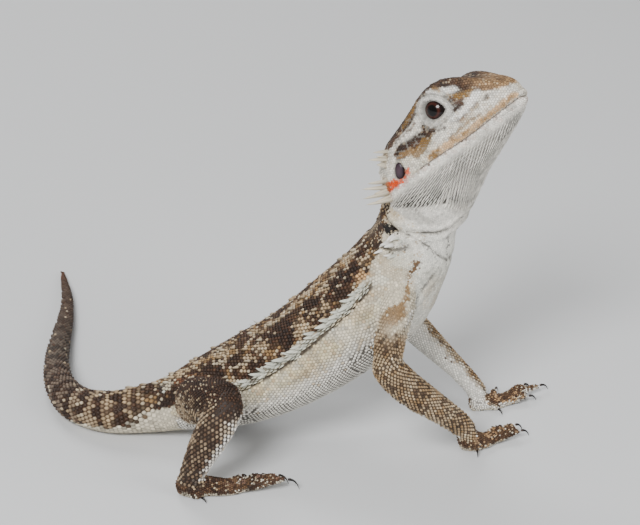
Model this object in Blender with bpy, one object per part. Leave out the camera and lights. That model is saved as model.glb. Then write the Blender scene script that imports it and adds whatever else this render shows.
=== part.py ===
"""Young central bearded dragon (Pogona vitticeps), propped up on its forelegs with its head raised.

A still, life-size model.
Frame: metres, +Z up, the body lies along X and faces +X, its left side is +Y, the floor is Z = 0.
The body is one long loft from tail tip to neck, cut into lengths. The head is a second loft in a
frame of its own, and each leg is a bent tube that stops short of what it meets.
"""

import math

import bmesh
import bpy
import numpy as np
from mathutils import Matrix, Vector

MM = 0.001
UP = (0, 0, 1)

# ---- driving dimensions -------------------------------------------------------------------
GAP = 0.3 * MM  # thin cut between two nodes
LIFT_X = 6.916 * MM  # shifts the model so that its box is centred on the origin
LIFT_Y = -25.022 * MM
HEAD_ORIGIN = Vector((21.6, 0.9, 57.9)) * MM  # between the ear openings, at the mouth line
HEAD_YAW = math.radians(20)  # turned towards the right flank
HEAD_PITCH = math.radians(45.5)
HEAD_ROLL = math.radians(15)  # crown leaning to the left
EYE_CENTRE = Vector((12.2, 5.35, 7.5)) * MM  # in the head's frame, left side
EYE_RADIUS = 3.0 * MM
EAR_CENTRE = Vector((0.4, 11.0, 2.3)) * MM
EAR_SIZE = Vector((1.0, 0.9, 1.6)) * MM  # half axes of the ear's recess, less the gap
EARDRUM_SHARE = 0.86  # size of the eardrum in the recess
EARDRUM_SUNK = 0.25 * MM

SPINE_SIDES = 24
TAIL_SIDES = 14
LIMB_SIDES = 10
DIGIT_SIDES = 6
HEAD_SIDES = 30
CLAW_SIDES = 5
DOME = ((0.62, 0.80), (0.96, 0.34))  # distance past the tube's end and width there, in radii

# Body line from tail tip to neck: x, y, z of the centre, half width, half height.
SPINE = np.array([
    (-62.6, 77.5, 0.4, 0.45, 0.45),
    (-61.3, 70.5, 0.8, 0.9, 0.9),
    (-59.4, 60.5, 1.2, 1.4, 1.35),
    (-58.5, 49.0, 1.6, 1.9, 1.8),
    (-58.3, 37.0, 2.05, 2.4, 2.25),
    (-57.6, 25.5, 2.5, 2.8, 2.7),
    (-55.3, 14.5, 3.0, 3.3, 3.2),
    (-50.6, 5.6, 3.6, 3.9, 3.8),
    (-43.5, 1.5, 4.15, 4.5, 4.3),
    (-35.5, 1.1, 5.2, 5.2, 4.9),
    (-29.5, 0.6, 7.0, 6.4, 5.75),
    (-24.0, 0.2, 9.1, 8.5, 6.9),
    (-14.6, 0.0, 12.9, 11.2, 8.5),
    (-4.4, 0.0, 18.3, 12.6, 9.2),
    (4.5, 0.0, 25.2, 12.6, 10.1),
    (12.0, 0.0, 32.1, 11.6, 10.4),
    (16.4, 0.0, 39.4, 9.8, 9.4),
    (19.0, 0.0, 46.0, 8.6, 8.2),
    (20.0, 0.0, 53.0, 7.6, 7.2),
]) * MM
# Where the body line is cut, as shares of the control points above.
SPINE_CUTS = {
    "tail_tip": (0.0, 2.6),
    "tail_outer": (2.6, 4.9),
    "tail_bend": (4.9, 7.2),
    "tail_base": (7.2, 10.2),
    "trunk": (10.2, 15.9),
    "neck": (15.9, 18.0),
}
TIP_RINGS, BODY_RINGS = 2, 3  # rings for each span of the body line, in the tail tip and elsewhere
TANGENT_STEP = 0.02  # share of a span over which a line's direction is read

# Profiles of the head along its own X, in mm from the ear opening: (x, value).
ROOF = ((-7, 7.8), (-3, 9.5), (2, 10.2), (6.5, 10.7), (11, 11.2), (14, 11.4), (17, 10.4),
        (20, 8.2), (23, 6.3), (25, 4.5), (25.9, 1.9))
THROAT = ((-7, -9.2), (-4, -11.9), (0, -10.5), (4, -8.5), (9, -6.3), (15, -4.7), (20, -3.3),
          (23, -2.3), (25, -1.5), (25.9, -0.8))
BROW_WIDTH = ((-7, 3.9), (-3, 5.8), (2, 6.6), (7, 7.3), (11, 8.0), (14, 7.9), (17, 7.2), (20, 5.8),
              (23, 3.8), (25, 2.5), (25.9, 1.3))
BROW_RISE = ((-7, -0.8), (2, -0.3), (7, 0.3), (11, 1.0), (14, 1.1), (17, 1.5), (20, 1.6), (23, 0.1),
             (25.9, -0.4))
ORBIT_WIDTH = ((-7, 5.8), (-3, 8.9), (2, 9.4), (7, 8.2), (11, 7.5), (14, 7.2), (17, 6.3), (20, 5.2),
               (23, 4.0), (25, 2.7), (25.9, 1.3))
CHEEK_WIDTH = ((-7, 7.7), (-3, 10.6), (2, 11.2), (7, 10.2), (11, 9.1), (14, 8.2), (17, 7.1), (20, 5.9),
               (23, 4.4), (25, 2.9), (25.9, 1.4))
JAW_WIDTH = ((-7, 8.4), (-3, 10.7), (2, 11.1), (7, 10.1), (11, 9.1), (14, 8.2), (17, 7.0), (20, 5.8),
             (23, 4.2), (25, 2.6), (25.9, 1.2))
THROAT_WIDTH = ((-7, 7.0), (-3, 9.4), (2, 9.6), (7, 8.2), (11, 6.9), (14, 5.9), (17, 4.9), (20, 3.9),
                (23, 2.7), (25, 1.6), (25.9, 0.7))
HEAD_RINGS = 18
# The half outline of the head at one station, from crown to throat, in shares of the profiles.
BROW_SLOPE = (0.55, 0.35)  # share of the brow's width, and of its rise, halfway up the crown
BROW_DROP = 0.06  # how far the brow's edge hangs, in shares of the roof
EYE_LEVEL = 0.64
CHEEK_LEVEL = 0.28
THROAT_LEVELS = (0.52, 0.88)
THROAT_TUCK = 0.62

# Pointed scales behind the ear: x, place on the half outline (0 crown, 3 eye level, 5 mouth line,
# 8 throat), direction in the head's frame, length and radius, all in mm.
NAPE_SPIKES = (
    (-0.8, 2.69, (-1.0, 1.29, 0.52), 3.9, 0.65),
    (-1.5, 3.08, (-1.0, 1.50, 0.71), 4.9, 0.75),
    (-1.9, 3.36, (-1.0, 1.59, 0.89), 2.8, 0.55),
    (-4.5, 3.88, (-1.0, 1.50, 1.02), 4.5, 0.75),
    (-5.4, 4.14, (-1.0, 1.57, 1.04), 5.9, 0.85),
    (-5.7, 4.52, (-1.0, 1.48, 0.73), 6.8, 0.85),
)
JAW_SPIKES = (
    (-6.2, 5.20, (-1.0, 1.53, 0.71), 6.6, 0.85),
)

# Legs: centre, half width across, half depth. The upper length runs from inside the body to the
# elbow or knee, the lower one from there to the foot.
RIGHT_ARM = {
    "upper": ((14.6, -4.0, 37.6, 3.6, 3.6), (15.4, -9.6, 35.4, 3.8, 3.6), (14.2, -13.0, 30.6, 3.3, 3.2),
              (13.1, -14.8, 25.4, 3.05, 3.0)),
    "lower": ((13.2, -15.0, 23.3, 3.2, 3.1), (16.3, -13.8, 19.0, 3.45, 3.3), (20.8, -12.0, 14.4, 3.2, 3.1),
              (25.0, -9.8, 10.2, 2.75, 2.65), (28.4, -7.6, 6.4, 2.5, 2.3), (30.1, -6.4, 3.6, 2.1, 2.1)),
}
LEFT_ARM = {
    "upper": ((14.6, 4.0, 37.6, 3.6, 3.6), (15.4, 9.6, 35.4, 3.8, 3.6), (14.8, 12.8, 30.6, 3.4, 3.3),
              (14.4, 14.4, 25.4, 3.2, 3.1)),
    "lower": ((14.9, 14.6, 23.2, 3.1, 3.0), (19.1, 13.8, 18.4, 3.35, 3.2), (24.0, 12.7, 13.5, 2.85, 2.7),
              (28.6, 11.6, 9.2, 2.3, 2.2), (32.0, 10.7, 5.6, 2.2, 2.0), (33.8, 10.4, 3.2, 2.0, 2.0)),
}
RIGHT_LEG = {
    "upper": ((-25.0, -2.0, 9.4, 5.2, 5.0), (-24.0, -9.0, 12.4, 5.1, 5.0), (-21.4, -16.0, 16.6, 4.6, 4.6),
              (-18.0, -21.6, 19.4, 3.9, 3.8)),
    "lower": ((-18.0, -23.0, 18.8, 3.6, 3.5), (-20.1, -23.9, 14.8, 3.75, 3.65),
              (-22.4, -24.3, 10.4, 3.35, 3.25), (-24.6, -24.2, 5.6, 2.6, 2.5),
              (-25.5, -24.0, 3.2, 2.4, 2.3)),
}
LEFT_LEG = {
    "upper": ((-25.0, 2.0, 7.6, 4.9, 4.2), (-23.2, 8.6, 7.2, 4.6, 4.1), (-19.0, 14.4, 6.9, 4.1, 3.9),
              (-15.6, 18.8, 6.6, 3.7, 3.6)),
    "lower": ((-15.6, 20.6, 6.0, 3.4, 3.3), (-19.0, 21.9, 5.2, 3.3, 3.2), (-23.2, 21.2, 4.2, 2.8, 2.7),
              (-26.6, 19.8, 3.2, 2.3, 2.2), (-28.0, 19.4, 2.4, 2.1, 2.0)),
}

# Feet: the sole runs from start to end, with half widths and heights there. A digit is: turn from
# the foot's line towards the body (degrees), root ahead of the sole's end, root towards the body,
# length, half thickness, rise of its last knuckle (mm). The first digit is on the body's side.
FEET = {
    "hand_right": {"start": (29.7, -6.5), "end": (34.0, -4.6), "side": -1, "height": (4.2, 2.2),
                   "width": (2.2, 2.4), "digits": (
                       (62, -2.6, 1.0, 3.8, 0.75, 1.5), (17, -0.5, 1.3, 4.8, 0.80, 1.0),
                       (6, -0.2, 0.5, 7.4, 0.85, 1.4), (0, -0.4, -0.7, 7.8, 0.85, 1.0),
                       (-112, -2.8, -0.9, 1.9, 0.75, 0.3))},
    "hand_left": {"start": (33.0, 10.2), "end": (38.2, 12.0), "side": 1, "height": (3.4, 2.0),
                  "width": (2.0, 2.2), "digits": (
                      (72, -2.4, 1.0, 1.9, 0.70, 0.3), (-1, 0.0, 1.0, 6.0, 0.75, 0.8),
                      (-12, 0.0, 0.0, 10.2, 0.80, 1.0), (-18, -0.3, -0.9, 7.4, 0.80, 1.2),
                      (-46, -2.0, -1.4, 4.0, 0.70, 0.8))},
    "foot_right": {"start": (-26.6, -23.8), "end": (-16.6, -22.8), "side": -1, "height": (4.2, 2.0),
                   "width": (2.3, 2.4), "digits": (
                       (28, -1.5, 1.8, 3.0, 0.75, 0.8), (13, -0.7, 1.2, 5.8, 0.80, 1.2),
                       (5, -0.2, 0.4, 8.4, 0.85, 1.6), (-1, -0.3, -0.6, 10.2, 0.90, 1.7),
                       (-46, -8.4, -1.6, 1.9, 0.75, 0.2))},
    "foot_left": {"start": (-28.4, 19.0), "end": (-20.2, 23.6), "side": 1, "height": (3.8, 2.2),
                  "width": (2.2, 2.4), "digits": (
                      (28, -1.5, 1.8, 3.0, 0.75, 0.8), (13, -0.7, 1.2, 5.8, 0.80, 1.2),
                      (5, -0.2, 0.4, 8.4, 0.85, 1.6), (-3, -0.3, -0.6, 10.2, 0.90, 1.7),
                      (-36, -6.4, -1.0, 4.6, 0.75, 0.6))},
}
CLAW_LENGTH = (1.1 * MM, 0.12)  # length of a claw: a base, and a share of its toe
CLAW_RADIUS = 0.42 * MM
CLAW_RINGS = 4
CLAW_BEND = 1.35  # radians turned from base to tip
CLAW_DROOP = 0.9
CLAW_TAPER = 0.9
CLAW_FLOOR = 0.12 * MM  # how high the tip stays
# A toe, from inside the sole to its tip: distance ahead (mm before the root, then shares of its
# length), half height and half width in radii, and share of its rise.
TOE_ROWS = ((-1.4, 0.95, 1.0, 0.0), (0.0, 1.0, 1.0, 0.0), (0.45, 1.0, 0.96, 0.35), (0.80, 1.0, 0.90, 0.95),
            (1.0, 1.0, 0.66, 1.0))

COLOURS = {  # base colour, roughness
    "hide": ((0.52, 0.40, 0.28), 0.65),
    "pale_hide": ((0.78, 0.73, 0.64), 0.65),
    "eye": ((0.05, 0.02, 0.015), 0.08),
    "eardrum": ((0.10, 0.07, 0.07), 0.35),
    "claw": ((0.06, 0.045, 0.035), 0.35),
}


# ---- scene and small helpers --------------------------------------------------------------
def clear_scene():
    for obj in list(bpy.data.objects):
        bpy.data.objects.remove(obj)


def new_empty(name, collection, parent=None):
    made = bpy.data.objects.new(name, None)
    made.empty_display_size = 0.01
    made.parent = parent
    collection.objects.link(made)
    return made


def new_collection(name):
    made = bpy.data.collections.new(name)
    bpy.context.scene.collection.children.link(made)
    return made


def material(name):
    found = bpy.data.materials.get(name)
    if found:
        return found
    colour, roughness = COLOURS[name]
    made = bpy.data.materials.new(name)
    made.use_nodes = True
    shader = made.node_tree.nodes["Principled BSDF"]
    shader.inputs["Base Color"].default_value = (*colour, 1)
    shader.inputs["Roughness"].default_value = roughness
    shader.inputs["Metallic"].default_value = 0
    return made


def new_object(name, bm, collection, slot="hide"):
    """Puts a bmesh in a named object, its faces pointing out, shaded smooth."""
    bmesh.ops.recalc_face_normals(bm, faces=bm.faces)
    mesh = bpy.data.meshes.new(name)
    bm.to_mesh(mesh)
    bm.free()
    mesh.materials.append(material(slot))
    mesh.shade_smooth()
    obj = bpy.data.objects.new(name, mesh)
    collection.objects.link(obj)
    return obj


def as_cutter(obj, cutters):
    """Moves a shape out of the model: it only cuts or is joined into others."""
    for owner in list(obj.users_collection):
        owner.objects.unlink(obj)
    cutters.objects.link(obj)
    obj.hide_render = True
    obj.display_type = "WIRE"
    return obj


def boolean(obj, other, operation="DIFFERENCE"):
    modifier = obj.modifiers.new(f"{operation.lower()}_{other.name}"[:60], "BOOLEAN")
    modifier.operation = operation
    modifier.solver = "EXACT"
    modifier.use_self = operation == "UNION"
    modifier.object = other
    return modifier


# ---- lofts --------------------------------------------------------------------------------
def catmull_rom(rows, share):
    """The row of a table of numbers at a fractional index, on a smooth curve through the rows."""
    rows = np.asarray(rows, float)
    i = min(int(share), len(rows) - 2)
    t = share - i
    before, first, second, after = (rows[min(max(k, 0), len(rows) - 1)] for k in (i - 1, i, i + 1, i + 2))
    return first + 0.5 * t * (
        second - before
        + t * (2 * before - 5 * first + 4 * second - after + t * (3 * (first - second) + after - before))
    )


def profile(pairs, x):
    """Value at x on a smooth curve through (x, value) pairs."""
    xs = [p[0] for p in pairs]
    i = min(max(int(np.searchsorted(xs, x)) - 1, 0), len(xs) - 2)
    t = min(max((x - xs[i]) / (xs[i + 1] - xs[i]), 0), 1)
    return float(catmull_rom([(p[1],) for p in pairs], i + t)[0])


def section(centre, tangent, up_hint, half_width, half_height, sides, squareness=2.15):
    """A ring of points round centre, square to tangent. Its first point lies towards +side."""
    tangent = Vector(tangent).normalized()
    side = Vector(up_hint).cross(tangent).normalized()
    up = tangent.cross(side)
    ring = []
    for k in range(sides):
        angle = 2 * math.pi * k / sides
        c, s = math.cos(angle), math.sin(angle)
        across = math.copysign(abs(c) ** (2 / squareness), c) * half_width
        upward = math.copysign(abs(s) ** (2 / squareness), s) * half_height
        ring.append(Vector(centre) + side * across + up * upward)
    return ring


def bend_rings(rows, start, stop, count, sides, up=None, grow=0.0, trim=(0.0, 0.0)):
    """Rings of a bent tube between two fractional rows. trim pulls each end in, along the line.

    up is kept by every ring. With none given, the rings start level and never twist.
    """
    rings = []
    carried = None
    for k in range(count):
        share = start + (stop - start) * k / (count - 1)
        row = catmull_rom(rows, share)
        ahead = catmull_rom(rows, min(share + TANGENT_STEP, len(rows) - 1))
        behind = catmull_rom(rows, max(share - TANGENT_STEP, 0))
        tangent = Vector((ahead - behind)[:3]).normalized()
        if up is None:
            if carried is None:
                carried = min((Vector(axis) for axis in np.eye(3)), key=lambda axis: abs(axis.dot(tangent)))
            carried = (carried - tangent * carried.dot(tangent)).normalized()
        centre = Vector(row[:3])
        if k == 0:
            centre += tangent * trim[0]
        if k == count - 1:
            centre -= tangent * trim[1]
        rings.append(section(centre, tangent, up or carried, row[3] + grow, row[4] + grow, sides))
    return rings


def skin_rings(name, rings, collection, slot="hide"):
    """Faces between neighbouring rings, with a flat cap on each end."""
    bm = bmesh.new()
    loops = [[bm.verts.new(p) for p in ring] for ring in rings]
    for near, far in zip(loops, loops[1:]):
        for k in range(len(near)):
            j = (k + 1) % len(near)
            bm.faces.new((near[k], near[j], far[j], far[k]))
    bm.faces.new(loops[0])
    bm.faces.new(loops[-1])
    return new_object(name, bm, collection, slot)


# ---- body line: tail, trunk and neck ------------------------------------------------------
def spine_piece(name, collection):
    start, stop = SPINE_CUTS[name]
    per_span = TIP_RINGS if name == "tail_tip" else BODY_RINGS
    count = max(3, round((stop - start) * per_span) + 1)
    last = len(SPINE) - 1
    trim = (GAP / 2 if start > 0 else 0.0, GAP / 2 if stop < last else 0.0)
    sides = SPINE_SIDES if name in ("trunk", "neck") else TAIL_SIDES
    rings = bend_rings(SPINE, start, stop, count, sides, UP, trim=trim)
    return skin_rings(name, rings, collection)


def whole_spine(cutters):
    """The uncut body line, swollen by the gap: it trims the roots of the legs."""
    rings = bend_rings(SPINE, 8.0, len(SPINE) - 1, 46, SPINE_SIDES, UP, grow=GAP)
    return as_cutter(skin_rings("cut_spine", rings, cutters), cutters)


# ---- head ---------------------------------------------------------------------------------
def head_matrix():
    """Head frame: X to the snout, Y to the left, Z to the crown."""
    cp, sp = math.cos(HEAD_PITCH), math.sin(HEAD_PITCH)
    cy, sy = math.cos(HEAD_YAW), math.sin(HEAD_YAW)
    forward = Vector((cp * cy, -cp * sy, sp))
    level_left = Vector((sy, cy, 0))
    level_up = forward.cross(level_left)
    up = level_up * math.cos(HEAD_ROLL) + level_left * math.sin(HEAD_ROLL)
    left = up.cross(forward)
    made = Matrix((forward, left, up)).transposed().to_4x4()
    made.translation = HEAD_ORIGIN
    return made


def half_outline(x):
    """Half of the head's outline at x, as (side, height) pairs in mm, from crown to throat."""
    roof, throat = profile(ROOF, x), profile(THROAT, x)
    brow, rise = profile(BROW_WIDTH, x), profile(BROW_RISE, x)
    return [
        (0.0, roof),
        (brow * BROW_SLOPE[0], roof + rise * BROW_SLOPE[1]),
        (brow, roof + rise - BROW_DROP * roof),
        (profile(ORBIT_WIDTH, x), roof * EYE_LEVEL),
        (profile(CHEEK_WIDTH, x), roof * CHEEK_LEVEL),
        (profile(JAW_WIDTH, x), 0.0),
        (profile(THROAT_WIDTH, x), throat * THROAT_LEVELS[0]),
        (profile(THROAT_WIDTH, x) * THROAT_TUCK, throat * THROAT_LEVELS[1]),
        (0.0, throat),
    ]


def head_section(x, grow=0.0):
    """Ring of the head at x, swollen by grow."""
    half = half_outline(x)
    outline = half + [(-y, z) for y, z in half[-2:0:-1]]
    closed = outline[-1:] + outline + outline[:2]
    ring = []
    for k in range(HEAD_SIDES):
        share = 1 + k * len(outline) / HEAD_SIDES
        y, z = catmull_rom(closed, share)
        ring.append(Vector((x, y, z)) * MM)
    middle = sum(ring, Vector()) / HEAD_SIDES
    return [p + (p - middle).normalized() * grow for p in ring]


def whole_head(name, cutters, grow=0.0):
    """The uncut head in its own frame. Rings crowd towards the snout, where the shape turns fastest."""
    back, front = ROOF[0][0], ROOF[-1][0]
    rings = []
    for k in range(HEAD_RINGS):
        share = math.sin(math.pi / 2 * k / (HEAD_RINGS - 1)) * 0.6 + 0.4 * k / (HEAD_RINGS - 1)
        rings.append(head_section(back + (front - back) * share, grow))
    rings[0] = [p - Vector((grow, 0, 0)) for p in rings[0]]
    return as_cutter(skin_rings(name, rings, cutters), cutters)


def half_of_head(name, source, above, collection, slot):
    """The part of the head above or below the mouth line, with half the gap taken off its face."""
    bm = bmesh.new()
    bm.from_mesh(source.data)
    level = GAP / 2 if above else -GAP / 2
    geometry = bm.verts[:] + bm.edges[:] + bm.faces[:]
    cut = bmesh.ops.bisect_plane(bm, geom=geometry, plane_co=(0, 0, level), plane_no=(0, 0, 1),
                                 clear_inner=above, clear_outer=not above)
    edges = [e for e in cut["geom_cut"] if isinstance(e, bmesh.types.BMEdge)]
    bmesh.ops.contextual_create(bm, geom=edges)
    bmesh.ops.triangulate(bm, faces=bm.faces)
    return new_object(name, bm, collection, slot)


def ellipsoid(name, centre, radii, cutters, segments=14, rings=8):
    bm = bmesh.new()
    bmesh.ops.create_uvsphere(bm, u_segments=segments, v_segments=rings, radius=1)
    bmesh.ops.scale(bm, vec=Vector(radii), verts=bm.verts)
    bmesh.ops.translate(bm, vec=Vector(centre), verts=bm.verts)
    return new_object(name, bm, cutters)


def spike(name, root, direction, length, radius, cutters):
    """A pointed scale: a five-sided cone whose foot is sunk in the head."""
    bm = bmesh.new()
    bmesh.ops.create_cone(bm, cap_ends=True, segments=5, radius1=radius, radius2=radius * 0.06, depth=length)
    bmesh.ops.translate(bm, vec=(0, 0, length * 0.26), verts=bm.verts)
    turn = Vector(direction).to_track_quat("Z", "Y").to_matrix()
    bmesh.ops.transform(bm, matrix=turn.to_4x4(), verts=bm.verts)
    bmesh.ops.translate(bm, vec=Vector(root), verts=bm.verts)
    return as_cutter(new_object(name, bm, cutters), cutters)


def add_spikes(obj, rows, label, cutters):
    for side in (-1, 1):
        for k, (x, place, direction, length, radius) in enumerate(rows):
            y, z = catmull_rom(half_outline(x), place)
            root = Vector((x, y * side, z)) * MM
            direction = (direction[0], direction[1] * side, direction[2])
            cone = spike(f"{label}_{side}_{k}", root, direction, length * MM, radius * MM, cutters)
            boolean(obj, cone, "UNION")


def build_head(collection, cutters, frame):
    """Head, lower jaw, eyes and eardrums, made in the head's own frame and held by its empty."""
    source = whole_head("whole_head", cutters)
    swollen = whole_head("cut_head", cutters, GAP)
    head = half_of_head("head", source, True, collection, "hide")
    jaw = half_of_head("lower_jaw", source, False, collection, "pale_hide")
    add_spikes(head, NAPE_SPIKES, "nape_spike", cutters)
    add_spikes(jaw, JAW_SPIKES, "jaw_spike", cutters)
    for side, label in ((-1, "right"), (1, "left")):
        eye_at = Vector((EYE_CENTRE.x, EYE_CENTRE.y * side, EYE_CENTRE.z))
        ear_at = Vector((EAR_CENTRE.x, EAR_CENTRE.y * side, EAR_CENTRE.z))
        socket = as_cutter(ellipsoid(f"socket_{label}", eye_at, [EYE_RADIUS + GAP] * 3, cutters), cutters)
        recess = ellipsoid(f"ear_recess_{label}", ear_at, EAR_SIZE + Vector([GAP] * 3), cutters)
        as_cutter(recess, cutters)
        boolean(head, socket)
        boolean(head, recess)
        eye = ellipsoid(f"eye_{label}", eye_at, [EYE_RADIUS] * 3, collection)
        eye.data.materials[0] = material("eye")
        drum_at = ear_at - Vector((0, EARDRUM_SUNK * side, 0))
        drum_size = EAR_SIZE * EARDRUM_SHARE
        drum = ellipsoid(f"eardrum_{label}", drum_at, drum_size, collection, segments=8, rings=6)
        drum.data.materials[0] = material("eardrum")
    for obj in [*collection.objects, *cutters.objects]:
        if obj.type == "MESH":
            obj.parent = frame
    return swollen


# ---- legs and feet ------------------------------------------------------------------------
def with_dome(rings):
    """Adds two shrinking rings ahead of a tube's first ring, so that it closes in a dome."""
    first, second = rings[0], rings[1]
    centre = sum(first, Vector()) / len(first)
    outward = (centre - sum(second, Vector()) / len(second)).normalized()
    radius = sum((p - centre).length for p in first) / len(first)
    dome = []
    for ahead, width in DOME:
        dome.append([centre + (p - centre) * width + outward * radius * ahead for p in first])
    return dome[::-1] + rings


def leg_pieces(facts, names, collection, cutters):
    """Upper and lower length of a leg. The lower one is domed at the joint; the upper one clears it."""
    upper_rows, lower_rows = (np.array(facts[k]) * MM for k in ("upper", "lower"))
    upper = skin_rings(names[0], bend_rings(upper_rows, 0, 3, 8, LIMB_SIDES), collection)

    def lower_tube(name, owner, grow=0.0):
        rings = bend_rings(lower_rows, 0, len(lower_rows) - 1, 9, LIMB_SIDES, grow=grow)
        return skin_rings(name, with_dome(rings), owner)

    lower = lower_tube(names[1], collection)
    boolean(upper, as_cutter(lower_tube(f"cut_{names[1]}", cutters, GAP), cutters))
    return upper, lower


def digit_rings(root, heading, length, radius, rise):
    """A toe: it lies flat at its root and lifts towards its last knuckle."""
    direction = Vector((math.cos(heading), math.sin(heading), 0))
    rows = []
    for ahead, high, wide, lift in TOE_ROWS:
        place = root + direction * (ahead if ahead < 0 else ahead * length)
        rows.append((place.x, place.y, radius * high + rise * lift, radius * wide, radius * wide))
    rows = np.array(rows) * MM
    return bend_rings(rows, 0, len(rows) - 1, 5, DIGIT_SIDES, UP), direction


def claw(name, base, direction, length, collection):
    """A hooked cone that curves down from the toe tip to the floor."""
    rings = []
    drop = base.z - CLAW_FLOOR
    for k in range(CLAW_RINGS):
        t = k / (CLAW_RINGS - 1)
        centre = base + direction * (GAP + length * math.sin(t * CLAW_BEND) / math.sin(CLAW_BEND))
        centre.z = base.z + 0.25 * CLAW_RADIUS * math.sin(math.pi * t) - drop * t * t
        tangent = Vector((*direction[:2], -CLAW_DROOP * t))
        radius = CLAW_RADIUS * (1 - CLAW_TAPER * t)
        rings.append(section(centre, tangent, UP, radius * 0.8, radius, CLAW_SIDES))
    return skin_rings(name, rings, collection, "claw")


def build_foot(name, collection, cutters, floor):
    """Sole and five toes in one body, flat underneath, with a claw on each toe, and a swollen sole."""
    facts = FEET[name]
    start, end = Vector((*facts["start"], 0)), Vector((*facts["end"], 0))
    line = (end - start).normalized()
    tall, low = facts["height"]
    wide, spread = facts["width"]
    rows = np.array([
        (*(start - line * 1.4)[:2], 1.4, wide * 0.45, 1.3),
        (*(start + line * 0.3)[:2], tall * 0.46, wide * 0.95, tall * 0.52),
        (*start.lerp(end, 0.5)[:2], (tall + low) * 0.25, (wide + spread) * 0.5, (tall + low) * 0.27),
        (*start.lerp(end, 0.9)[:2], low * 0.5, spread, low * 0.55),
        (*(end + line * 0.9)[:2], low * 0.44, spread * 0.6, low * 0.44),
    ]) * MM
    sole = skin_rings(name, bend_rings(rows, 0, 4, 7, LIMB_SIDES, UP), collection)
    swollen = bend_rings(rows, 0, 4, 7, LIMB_SIDES, UP, grow=GAP, trim=(-GAP, -GAP))
    sole_cut = as_cutter(skin_rings(f"cut_{name}", swollen, cutters), cutters)
    inward = -facts["side"]
    towards_body = Vector((-line.y, line.x, 0)) * inward
    turn = math.atan2(line.y, line.x)
    for k, (angle, ahead, across, length, radius, rise) in enumerate(facts["digits"]):
        root = end + line * ahead + towards_body * across
        heading = turn + math.radians(angle) * inward
        rings, direction = digit_rings(root, heading, length, radius, rise)
        toe = as_cutter(skin_rings(f"{name}_toe_{k + 1}", rings, cutters), cutters)
        boolean(sole, toe, "UNION")
        tip = sum((Vector(p) for p in rings[-1]), Vector()) / DIGIT_SIDES
        claw_length = CLAW_LENGTH[0] + CLAW_LENGTH[1] * length * MM
        claw(f"claw_{name}_{k + 1}", tip, direction, claw_length, collection)
    boolean(sole, floor)
    return sole_cut


def floor_block(cutters):
    bm = bmesh.new()
    bmesh.ops.create_cube(bm, size=1)
    bmesh.ops.scale(bm, vec=(0.4, 0.4, 0.02), verts=bm.verts)
    bmesh.ops.translate(bm, vec=(0, 0, -0.01), verts=bm.verts)
    return as_cutter(new_object("floor_block", bm, cutters), cutters)


def main():
    clear_scene()
    model, cutters = new_collection("bearded_dragon"), new_collection("cutters")
    origin = new_empty("body_origin", model)
    origin.location = (LIFT_X, LIFT_Y, 0)
    head_frame = new_empty("head_frame", model, origin)
    head_frame.matrix_local = head_matrix()
    head_cut = build_head(model, cutters, head_frame)
    floor = floor_block(cutters)
    spine_cut = whole_spine(cutters)
    spine = {name: spine_piece(name, model) for name in SPINE_CUTS}
    for name in ("tail_tip", "tail_outer", "tail_bend", "tail_base"):
        boolean(spine[name], floor)
    boolean(spine["neck"], head_cut)
    limbs = {
        "hand_right": (("upper_arm_right", "forearm_right"), RIGHT_ARM),
        "hand_left": (("upper_arm_left", "forearm_left"), LEFT_ARM),
        "foot_right": (("thigh_right", "shin_right"), RIGHT_LEG),
        "foot_left": (("thigh_left", "shin_left"), LEFT_LEG),
    }
    for foot_name, (names, rows) in limbs.items():
        sole_cut = build_foot(foot_name, model, cutters, floor)
        upper, lower = leg_pieces(rows, names, model, cutters)
        boolean(upper, spine_cut)
        boolean(lower, sole_cut)
    for obj in [*model.objects, *cutters.objects]:
        if obj.type == "MESH" and obj.parent is None:
            obj.parent = origin


main()
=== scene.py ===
# %% [markdown]
# # A young bearded dragon and its skin
# A bearded dragon is a lizard that seems to be all scales: fine pale squares on the belly, keeled
# and mottled ones on the back, long soft points under the chin. We first load the plain solids,
# which say where everything is and how big. Nothing below moves them: we only dress them.

# %% Load the solids
import math
from collections import deque
from itertools import product

import bmesh
import bpy
import numpy as np
from mathutils import Matrix, Vector, noise
from mathutils.bvhtree import BVHTree
from mathutils.kdtree import KDTree


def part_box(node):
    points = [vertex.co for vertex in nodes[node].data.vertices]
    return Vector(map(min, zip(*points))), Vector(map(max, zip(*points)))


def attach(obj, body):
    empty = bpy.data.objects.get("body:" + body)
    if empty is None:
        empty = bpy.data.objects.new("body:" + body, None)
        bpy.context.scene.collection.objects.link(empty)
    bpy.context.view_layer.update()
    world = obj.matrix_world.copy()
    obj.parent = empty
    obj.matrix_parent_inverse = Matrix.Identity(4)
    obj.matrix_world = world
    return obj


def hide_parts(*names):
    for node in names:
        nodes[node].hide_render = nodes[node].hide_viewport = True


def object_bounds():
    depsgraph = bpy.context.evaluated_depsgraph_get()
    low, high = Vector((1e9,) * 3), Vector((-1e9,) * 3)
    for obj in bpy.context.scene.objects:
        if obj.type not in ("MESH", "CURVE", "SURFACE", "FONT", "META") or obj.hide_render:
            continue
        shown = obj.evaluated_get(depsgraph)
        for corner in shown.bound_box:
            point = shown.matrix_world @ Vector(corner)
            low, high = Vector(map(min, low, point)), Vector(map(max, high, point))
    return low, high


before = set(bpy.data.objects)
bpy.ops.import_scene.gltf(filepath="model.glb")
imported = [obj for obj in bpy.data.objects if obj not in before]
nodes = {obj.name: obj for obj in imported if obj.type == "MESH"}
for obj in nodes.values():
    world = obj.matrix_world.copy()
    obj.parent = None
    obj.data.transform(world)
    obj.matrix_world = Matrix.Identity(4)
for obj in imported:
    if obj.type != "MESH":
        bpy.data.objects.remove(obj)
cad_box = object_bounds()
MM = 0.001
print("solids:", len(nodes), "box in mm:", [[round(v / MM, 1) for v in corner] for corner in cad_box])

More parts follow.
